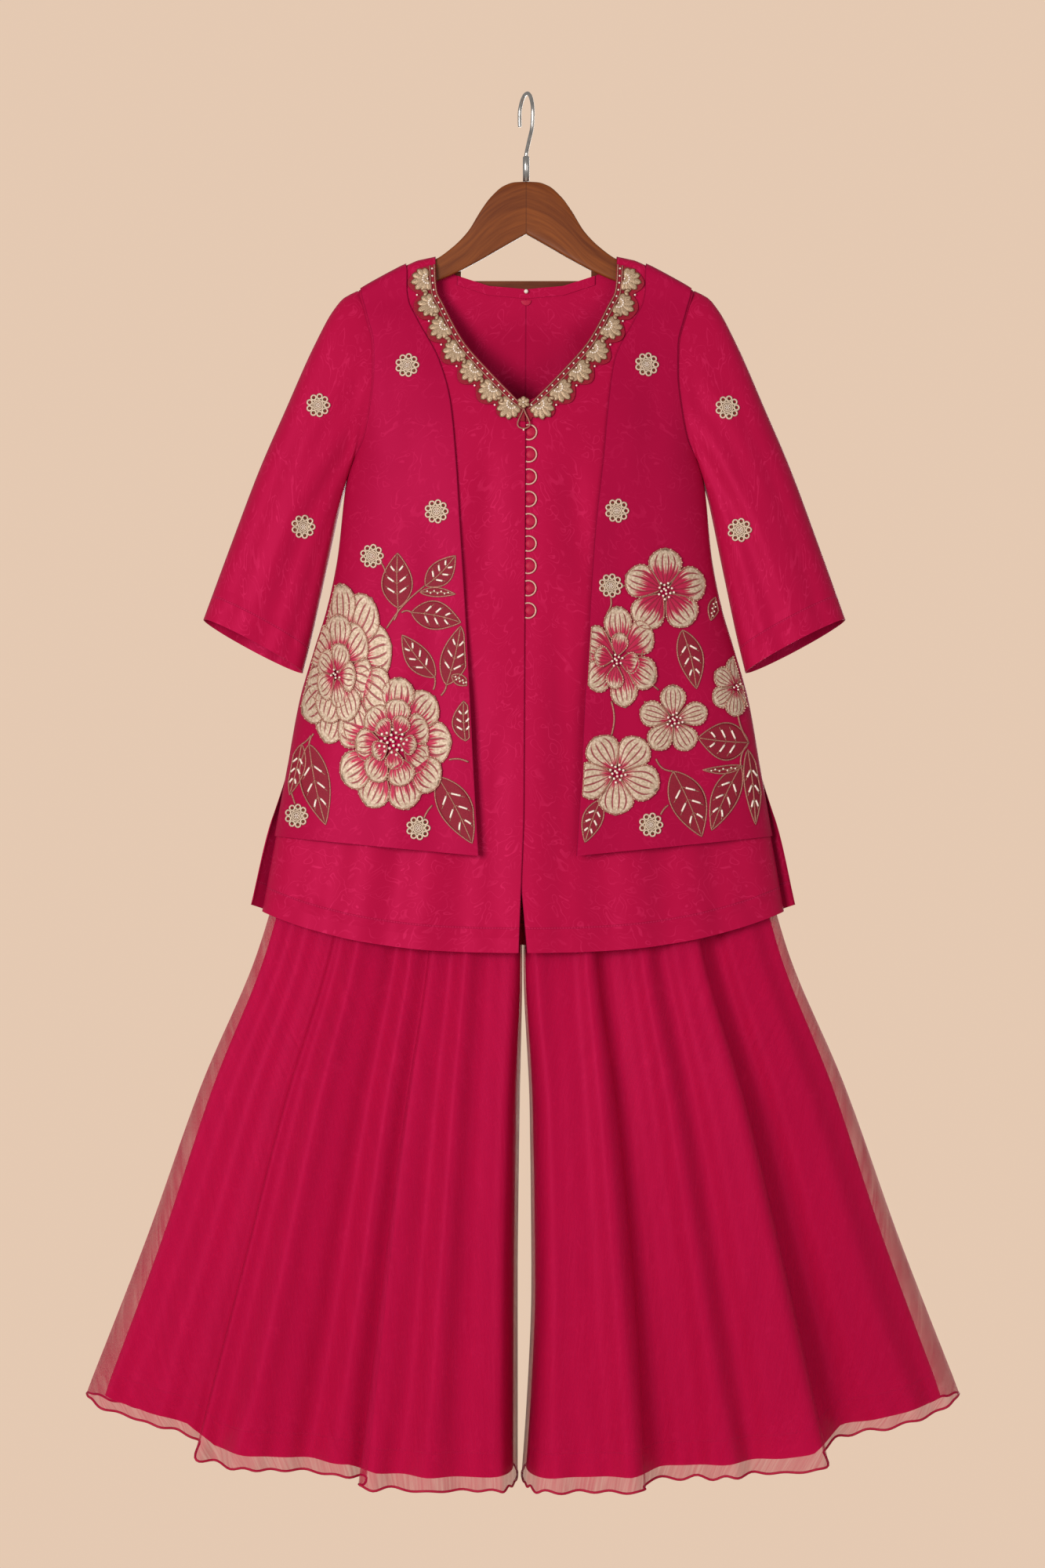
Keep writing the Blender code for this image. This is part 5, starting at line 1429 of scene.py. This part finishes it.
def smooth_path(points, place):
    """Catmull-Rom curve through the points, read at the places given."""
    ends = np.vstack((2 * points[0] - points[1], points, 2 * points[-1] - points[-2]))
    whole = np.minimum(place.astype(int), len(points) - 2)
    t = (place - whole)[:, None]
    a, b, c, d = (ends[whole + step] for step in range(4))
    return 0.5 * (2 * b + (c - a) * t + (2 * a - 5 * b + 4 * c - d) * t**2 + (3 * b - a - 3 * c + d) * t**3)


def make_back_fastening():
    """The pearl and the padded half-moon tab inside the back neck."""
    low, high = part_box("back_button")
    centre = (np.array(low) + np.array(high)) / 2
    pearl = balls(centre[None], (high[0] - low[0]) / 2, 24, 16)
    joined("back_pearl", [pearl], "pearl", ("back_button",))
    low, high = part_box("back_tab")
    radius = (high[0] - low[0]) / 2
    turn = np.linspace(0, pi, 25)
    share = np.array((1.0, 0.98, 0.8, 0.4, 0.05))[:, None]
    middle = (low[0] + high[0]) / 2
    x = middle + radius * share * np.cos(turn)
    z = high[2] - radius * share * np.sin(turn)
    back = np.full(z.shape, high[1])
    front = low[1] - 0.0004 * np.sqrt(np.maximum(0, 1 - share**2)) + 0 * z
    points = np.concatenate((np.stack((x, back, z), -1)[::-1], np.stack((x, front, z), -1)))
    faces = grid_faces(10, 25, False)
    ids = np.arange(250).reshape(10, 25)
    faces += [ids[:, 0].tolist() + ids[::-1, -1].tolist(), ids[0].tolist(), ids[-1, ::-1].tolist()]
    joined("back_half_moon", [(points.reshape(-1, 3), faces)], "button_satin", ("back_tab",))


def new_material(name, colour, roughness, metallic=0.0):
    """A material, its nodes and links, and its Principled shader with the constants set."""
    material = bpy.data.materials.new(name)
    material.use_nodes = True
    shader = material.node_tree.nodes["Principled BSDF"]
    shader.inputs["Base Color"].default_value = (*colour, 1)
    shader.inputs["Roughness"].default_value = roughness
    shader.inputs["Metallic"].default_value = metallic
    return material, material.node_tree, shader


def node(tree, kind, settings=None, **inputs):
    """A shader node with settings, and its sockets by name, from values or other sockets."""
    made = tree.nodes.new(kind)
    for key, value in (settings or {}).items():
        setattr(made, key, value)
    for key, value in inputs.items():
        socket = made.inputs[int(key[1:]) if key[0] == "_" else key.replace("_", " ")]
        if isinstance(value, bpy.types.NodeSocket):
            tree.links.new(value, socket)
        else:
            socket.default_value = value
    return made


def maths(tree, operation, first, second=0.0, third=0.0):
    """One sum on numbers or sockets."""
    return node(tree, "ShaderNodeMath", {"operation": operation}, _0=first, _1=second, _2=third).outputs[0]


def band_mask(tree, value, middle, half, soft):
    """1 where a value is within half of middle, falling to 0 over soft."""
    away = maths(tree, "ABSOLUTE", maths(tree, "SUBTRACT", value, middle))
    spread = node(
        tree, "ShaderNodeMapRange", Value=away, From_Min=half, From_Max=half + soft, To_Min=1.0, To_Max=0.0
    )
    return spread.outputs[0]


def mix(tree, factor, first, second):
    """Two colours mixed by a factor."""
    made = node(tree, "ShaderNodeMix", {"data_type": "RGBA"})
    for socket, value in ((made.inputs[0], factor), (made.inputs[6], first), (made.inputs[7], second)):
        if isinstance(value, bpy.types.NodeSocket):
            tree.links.new(value, socket)
        elif isinstance(value, tuple):
            socket.default_value = (*value, 1)
        else:
            socket.default_value = value
    return made.outputs[2]


def stretched_noise(tree, place, stretch, scale=1.0, **inputs):
    """Noise on a place that is stretched along its axes."""
    turned = node(tree, "ShaderNodeMapping", Vector=place, Scale=stretch)
    return node(tree, "ShaderNodeTexNoise", Vector=turned.outputs[0], Scale=scale, **inputs).outputs[0]


def bump(tree, height, strength, distance, after=None):
    """A bump from a height, on top of another one if given."""
    made = node(tree, "ShaderNodeBump", Height=height, Strength=strength, Distance=distance)
    if after is not None:
        tree.links.new(after, made.inputs["Normal"])
    return made.outputs[0]


def satin_finish(name, colour, curl, roughness, curl_strength, stitch=None):
    """Satin with self-coloured curling lines, a fine weave, a line of stitches above the hem, and painted
    shade in that stitch row and along every cut edge.
    """
    material, tree, shader = new_material(name, colour, roughness)
    uv = node(tree, "ShaderNodeUVMap", {"uv_map": "cloth"}).outputs[0]
    curls = node(tree, "ShaderNodeTexNoise", Vector=uv, Scale=52.0, Detail=0.5, Distortion=1.2)
    rings = maths(tree, "FRACT", maths(tree, "MULTIPLY", curls.outputs[0], 5.0))
    lines = band_mask(tree, rings, 0.5, 0.045, 0.070)
    patches = node(tree, "ShaderNodeTexNoise", Vector=uv, Scale=40.0, Detail=1.0)
    gate = node(tree, "ShaderNodeMapRange", Value=patches.outputs[0], From_Min=0.36, From_Max=0.60)
    lines = maths(tree, "MULTIPLY", maths(tree, "MULTIPLY", lines, gate.outputs[0]), curl_strength)
    cloud = node(tree, "ShaderNodeTexNoise", Vector=uv, Scale=9.0, Detail=2.0)
    tone = node(tree, "ShaderNodeMapRange", Value=cloud.outputs[0], To_Min=0.94, To_Max=1.06)
    base = node(tree, "ShaderNodeVectorMath", {"operation": "SCALE"}, Scale=tone.outputs[0])
    base.inputs[0].default_value = colour
    shade = mix(tree, lines, base.outputs[0], curl)
    weave = stretched_noise(tree, uv, (2600.0, 700.0, 1.0), Detail=0.0)
    relief = bump(tree, weave, 0.10, 0.0002)
    relief = bump(tree, lines, 0.25, 0.0002, relief)
    if stitch is not None:
        hem = node(tree, "ShaderNodeAttribute", {"attribute_name": "hem"}).outputs["Fac"]
        row = band_mask(tree, hem, stitch, 0.0004, 0.0007)
        split = node(tree, "ShaderNodeSeparateXYZ", Vector=uv)
        dash = maths(tree, "FRACT", maths(tree, "MULTIPLY", split.outputs[0], 330.0))
        dash = band_mask(tree, dash, 0.5, 0.30, 0.10)
        puckers = node(tree, "ShaderNodeTexNoise", {"noise_dimensions": "1D"}, Scale=60.0, Detail=0.0)
        tree.links.new(split.outputs[0], puckers.inputs["W"])
        near = band_mask(tree, hem, stitch, 0.0015, 0.0090)
        ripple = maths(tree, "MULTIPLY", puckers.outputs[0], near)
        relief = bump(tree, ripple, 0.5, 0.0030, relief)
        sunk = maths(tree, "MULTIPLY", row, -1.0)
        relief = bump(tree, sunk, 0.6, 0.0008, relief)
        # Painted shade: the sunk stitch row is darkened to 0.62 of the satin's colour; the dashes over it are
        # the lighter thread.
        dark = tuple(0.62 * c for c in colour)
        shade = mix(tree, maths(tree, "MULTIPLY", row, 0.55), shade, dark)
        shade = mix(tree, maths(tree, "MULTIPLY", maths(tree, "MULTIPLY", row, dash), 0.5), shade, curl)
    # Painted shade along every cut edge: within about a millimetre of the nearer side edge the colour falls
    # towards 0.4 of the satin's.
    seam = node(tree, "ShaderNodeAttribute", {"attribute_name": "seam"}).outputs["Fac"]
    edge = band_mask(tree, seam, 0.0, SEAM_SHADE_WIDTH, SEAM_SHADE_FADE)
    shaded = tuple(SEAM_SHADE_TONE * c for c in colour)
    shade = mix(tree, maths(tree, "MULTIPLY", edge, SEAM_SHADE), shade, shaded)
    gloss = node(tree, "ShaderNodeMapRange", Value=lines, To_Min=roughness, To_Max=roughness - 0.10)
    tree.links.new(shade, shader.inputs["Base Color"])
    tree.links.new(gloss.outputs[0], shader.inputs["Roughness"])
    tree.links.new(relief, shader.inputs["Normal"])
    shader.inputs["Specular IOR Level"].default_value = 0.36
    shader.inputs["Specular Tint"].default_value = (1.0, 0.06, 0.25, 1)
    return material


def organza_finish():
    """Sheer silk: mostly see-through, with a crossed weave that thickens and thins."""
    material, tree, shader = new_material("organza", (0.50, 0.0060, 0.060), 0.45)
    uv = node(tree, "ShaderNodeUVMap", {"uv_map": "cloth"}).outputs[0]
    threads = stretched_noise(tree, uv, (420.0, 22.0, 1.0), Detail=1.0)
    cloud = stretched_noise(tree, uv, (60.0, 5.0, 1.0), Detail=2.0)
    both = maths(tree, "MULTIPLY_ADD", cloud, 0.6, threads)
    alpha = node(
        tree, "ShaderNodeMapRange", Value=both, From_Min=0.5, From_Max=1.1, To_Min=0.26, To_Max=0.48
    )
    tree.links.new(alpha.outputs[0], shader.inputs["Alpha"])
    tree.links.new(bump(tree, threads, 0.15, 0.0003), shader.inputs["Normal"])
    shader.inputs["Specular IOR Level"].default_value = 0.30
    shader.inputs["Specular Tint"].default_value = (1.0, 0.06, 0.25, 1)
    return material


def fine_finish(name, colour, other, roughness, metallic, scale, stretch, relief):
    """A finish with fine thread or grain from a stretched noise on Object coordinates."""
    material, tree, shader = new_material(name, colour, roughness, metallic)
    place = node(tree, "ShaderNodeTexCoord").outputs["Object"]
    grain = stretched_noise(tree, place, stretch, scale, Detail=3.0)
    contrast = node(tree, "ShaderNodeMapRange", Value=grain, From_Min=0.32, From_Max=0.68)
    tree.links.new(mix(tree, contrast.outputs[0], colour, other), shader.inputs["Base Color"])
    tree.links.new(bump(tree, grain, *relief), shader.inputs["Normal"])
    shader.inputs["Specular IOR Level"].default_value = 0.5 if roughness < 0.35 else 0.15
    return material


def petal_finish():
    """Ivory-gold satin stitch: dark lines along the petal, pink streaks at its foot, mottled sheen.

    The UV map's u is across a petal (plus 2 for each next petal), v along it, plus 2 for each
    quarter of blush, which says how far the pink reaches.
    """
    ivory, gold, pink = (0.70, 0.55, 0.42), (0.44, 0.31, 0.21), (0.46, 0.010, 0.060)
    material, tree, shader = new_material("petal_thread", ivory, 0.45, 0.12)
    uv = node(tree, "ShaderNodeUVMap", {"uv_map": "cloth"}).outputs[0]
    split = node(tree, "ShaderNodeSeparateXYZ", Vector=uv)
    across = maths(tree, "MODULO", split.outputs[0], 2.0)
    along = maths(tree, "MODULO", split.outputs[1], 2.0)
    blush = maths(tree, "DIVIDE", maths(tree, "SUBTRACT", split.outputs[1], along), 8.0)
    fan = maths(tree, "FRACT", maths(tree, "MULTIPLY_ADD", across, 5.0, 0.5))
    lines = band_mask(tree, fan, 0.5, 0.080, 0.07)
    inside = band_mask(tree, across, 0.5, 0.40, 0.04)
    lines = maths(tree, "MULTIPLY", lines, inside)
    lines = maths(tree, "MULTIPLY", lines, band_mask(tree, along, 0.42, 0.38, 0.12))
    streaks = stretched_noise(tree, uv, (24.0, 1.6, 1.0), Detail=1.0)
    far = maths(tree, "MULTIPLY_ADD", blush, 0.62, 0.10)
    reach = maths(tree, "MULTIPLY_ADD", streaks, 0.75, maths(tree, "SUBTRACT", far, 0.38))
    foot = node(
        tree, "ShaderNodeMapRange", Value=maths(tree, "SUBTRACT", reach, along), From_Min=-0.04, From_Max=0.10
    )
    place = node(tree, "ShaderNodeTexCoord").outputs["Object"]
    mottle = node(tree, "ShaderNodeTexNoise", Vector=place, Scale=420.0, Detail=3.0)
    contrast = node(tree, "ShaderNodeMapRange", Value=mottle.outputs[0], From_Min=0.36, From_Max=0.66)
    threads = stretched_noise(tree, uv, (70.0, 5.0, 1.0), Detail=0.0)
    shade = mix(tree, contrast.outputs[0], gold, ivory)
    shade = mix(tree, foot.outputs[0], shade, pink)
    shade = mix(tree, maths(tree, "MULTIPLY", lines, 0.9), shade, (0.26, 0.014, 0.034))
    relief = bump(tree, threads, 0.5, 0.0004)
    relief = bump(tree, maths(tree, "MULTIPLY", lines, -1.0), 0.6, 0.0005, relief)
    tree.links.new(shade, shader.inputs["Base Color"])
    tree.links.new(relief, shader.inputs["Normal"])
    shader.inputs["Specular IOR Level"].default_value = 0.25
    return material


def wood_finish():
    """Polished walnut: grain lines along each arm, from the UV map, and a dark joint in the middle."""
    light, dark = (0.245, 0.062, 0.010), (0.120, 0.024, 0.004)
    material, tree, shader = new_material("hanger_wood", light, 0.34)
    uv = node(tree, "ShaderNodeUVMap", {"uv_map": "cloth"}).outputs[0]
    grain = stretched_noise(tree, uv, (14.0, 210.0, 1.0), Detail=4.0, Roughness=0.6)
    broad = stretched_noise(tree, uv, (5.0, 38.0, 1.0), Detail=2.0)
    both = maths(tree, "MULTIPLY_ADD", broad, 0.7, grain)
    contrast = node(tree, "ShaderNodeMapRange", Value=both, From_Min=0.62, From_Max=1.08)
    split = node(tree, "ShaderNodeSeparateXYZ", Vector=uv)
    joint = band_mask(tree, split.outputs[0], 0.0, 0.00015, 0.0005)
    shade = mix(tree, contrast.outputs[0], dark, light)
    shade = mix(tree, maths(tree, "MULTIPLY", joint, 0.6), shade, (0.05, 0.012, 0.004))
    tree.links.new(shade, shader.inputs["Base Color"])
    tree.links.new(bump(tree, grain, 0.12, 0.0003), shader.inputs["Normal"])
    shader.inputs["Specular IOR Level"].default_value = 0.25
    shader.inputs["Coat Weight"].default_value = 0.10
    shader.inputs["Coat Roughness"].default_value = 0.25
    return material


EVEN = (1, 1, 1)
FINE_FINISHES = {
    "band": ((0.235, 0.006, 0.018), (0.33, 0.014, 0.034), 0.6, 0.0, 900.0, EVEN, (0.3, 0.0004)),
    "tape": ((0.48, 0.010, 0.050), (0.56, 0.014, 0.060), 0.6, 0.0, 1200.0, (1, 1, 0.3), (0.2, 0.0003)),
    "pearl": ((0.82, 0.70, 0.60), (0.90, 0.80, 0.72), 0.22, 0.0, 220.0, EVEN, (0.05, 0.0002)),
    "steel": ((0.42, 0.41, 0.40), (0.60, 0.59, 0.57), 0.26, 1.0, 300.0, (1, 1, 0.1), (0.05, 0.0001)),
    "bar_wood": (
        (0.100, 0.022, 0.008), (0.17, 0.045, 0.016), 0.38, 0.0, 60.0, (0.35, 1, 3.2), (0.15, 0.0004)
    ),
    "ivory_thread": ((0.46, 0.34, 0.24), (0.84, 0.68, 0.54), 0.42, 0.20, 1300.0, EVEN, (0.5, 0.0004)),
    "band_gold": ((0.25, 0.155, 0.085), (0.64, 0.47, 0.32), 0.42, 0.25, 1100.0, EVEN, (0.5, 0.0004)),
    "dark_gold_thread": (
        (0.13, 0.050, 0.024), (0.30, 0.15, 0.080), 0.42, 0.35, 1300.0, EVEN, (0.5, 0.0004)
    ),
    "rose_gold_thread": (
        (0.22, 0.060, 0.048), (0.52, 0.26, 0.19), 0.42, 0.25, 1300.0, EVEN, (0.5, 0.0004)
    ),
    "rose_gold_bead": ((0.50, 0.26, 0.19), (0.74, 0.50, 0.38), 0.28, 0.30, 900.0, EVEN, (0.2, 0.0002)),
    "loop_cord": ((0.50, 0.24, 0.19), (0.80, 0.52, 0.42), 0.40, 0.25, 1100.0, EVEN, (0.6, 0.0004)),
    "bead": ((0.88, 0.72, 0.60), (0.95, 0.85, 0.76), 0.18, 0.05, 700.0, EVEN, (0.05, 0.0002)),
    "leaf_net": ((0.200, 0.006, 0.022), (0.30, 0.016, 0.036), 0.6, 0.0, 1500.0, EVEN, (0.4, 0.0004)),
    "button_satin": (
        (0.40, 0.0060, 0.040), (0.50, 0.012, 0.058), 0.45, 0.0, 1800.0, (1, 1, 0.3), (0.2, 0.0002)
    ),
    "rolled_hem": ((0.36, 0.006, 0.035), (0.46, 0.010, 0.050), 0.5, 0.0, 900.0, EVEN, (0.4, 0.0004)),
}
FINISHES = {
    "satin": satin_finish("satin", (0.405, 0.0048, 0.045), (0.56, 0.018, 0.090), 0.46, 0.50, 0.026),
    "leg_satin": satin_finish("leg_satin", (0.66, 0.0050, 0.072), (0.84, 0.018, 0.125), 0.38, 0.50, 0.026),
    "jacket_satin": satin_finish("jacket_satin", (0.370, 0.0040, 0.043), (0.50, 0.014, 0.078), 0.46, 0.36),
    "organza": organza_finish(),
    "petal_thread": petal_finish(),
    "hanger_wood": wood_finish(),
}
FINISHES.update((name, fine_finish(name, *row)) for name, row in FINE_FINISHES.items())
HEMS = {}


def make_stage():
    """A small pale floor, a plain pale surround, soft lights in front and behind, and the camera."""
    turn = np.linspace(0, 2 * pi, 96, endpoint=False)
    reach = np.array((0.0, 0.30, 0.60, 0.88))[:, None]
    points = np.stack((reach * np.cos(turn), reach * np.sin(turn), FLOOR_Z + 0 * reach * turn), axis=-1)
    faces = [face[::-1] for face in grid_faces(4, 96, True)]
    paint = fine_finish(
        "floor_paint", (0.78, 0.66, 0.56), (0.80, 0.68, 0.58), 0.9, 0.0, 30.0, (1, 1, 1), (0.02, 0.001)
    )
    mesh = bpy.data.meshes.new("floor")
    mesh.from_pydata(points.reshape(-1, 3).tolist(), [], faces)
    mesh.materials.append(paint)
    floor = bpy.data.objects.new("floor", mesh)
    bpy.context.scene.collection.objects.link(floor)
    lights = (
        ("key", (-1.60, -3.0, -0.35), 1.3, 82.0, (1.0, 0.97, 0.94)),
        ("fill", (1.9, -3.2, -0.8), 2.2, 24.0, (1.0, 0.97, 0.94)),
        ("behind", (0.9, 3.3, -0.3), 2.4, 55.0, (1.0, 0.97, 0.94)),
    )
    for name, place, size, power, colour in lights:
        light = bpy.data.lights.new(name, "AREA")
        light.size = size
        light.energy = power
        light.color = colour
        lamp = bpy.data.objects.new(name, light)
        lamp.location = place
        aim = Vector((0, 0, -0.75)) - Vector(place)
        lamp.rotation_euler = aim.to_track_quat("-Z", "Y").to_euler()
        bpy.context.scene.collection.objects.link(lamp)
    world = bpy.data.worlds.new("studio")
    world.use_nodes = True
    tree = world.node_tree
    sky = tree.nodes["Background"]
    sky.inputs["Color"].default_value = (1.0, 0.95, 0.90, 1)
    sky.inputs["Strength"].default_value = 0.36
    seen = node(tree, "ShaderNodeBackground", Color=(0.78, 0.585, 0.445, 1), Strength=1.0)
    ray = node(tree, "ShaderNodeLightPath").outputs["Is Camera Ray"]
    both = node(tree, "ShaderNodeMixShader", _0=ray, _1=sky.outputs[0], _2=seen.outputs[0])
    tree.links.new(both.outputs[0], tree.nodes["World Output"].inputs["Surface"])
    bpy.context.scene.world = world
    lens = bpy.data.cameras.new("camera")
    lens.sensor_fit = "VERTICAL"
    lens.sensor_height = 36.0
    lens.lens = 85.7
    camera = bpy.data.objects.new("camera", lens)
    camera.location = (-0.0039, -4.0, -0.7375)
    camera.rotation_euler = (pi / 2, 0, 0)
    bpy.context.scene.collection.objects.link(camera)
    bpy.context.scene.camera = camera
    bpy.context.scene.view_settings.view_transform = "Standard"


def main():
    """Builds every piece on the frame, then the stage."""
    pieces = make_tunic()
    make_jackets(pieces)
    make_sleeves(pieces)
    make_legs(pieces)
    make_waist()
    maps = {}
    for name, _ in SIDES:
        for part in ("tunic_front", "jacket_front", "sleeve"):
            node_name = f"{part}_{name}"
            maps[node_name] = height_map(pieces[node_name])
    make_band(pieces, maps)
    for name, _ in SIDES:
        maps[f"neck_band_{name}"] = height_map(pieces[f"neck_band_{name}"])
    make_flowers(maps)
    make_leaves(maps)
    make_bead_flowers(maps)
    make_band_embroidery(maps)
    make_buttons(maps)
    make_rolled_hems()
    make_back_fastening()
    make_hanger()
    make_stage()


main()
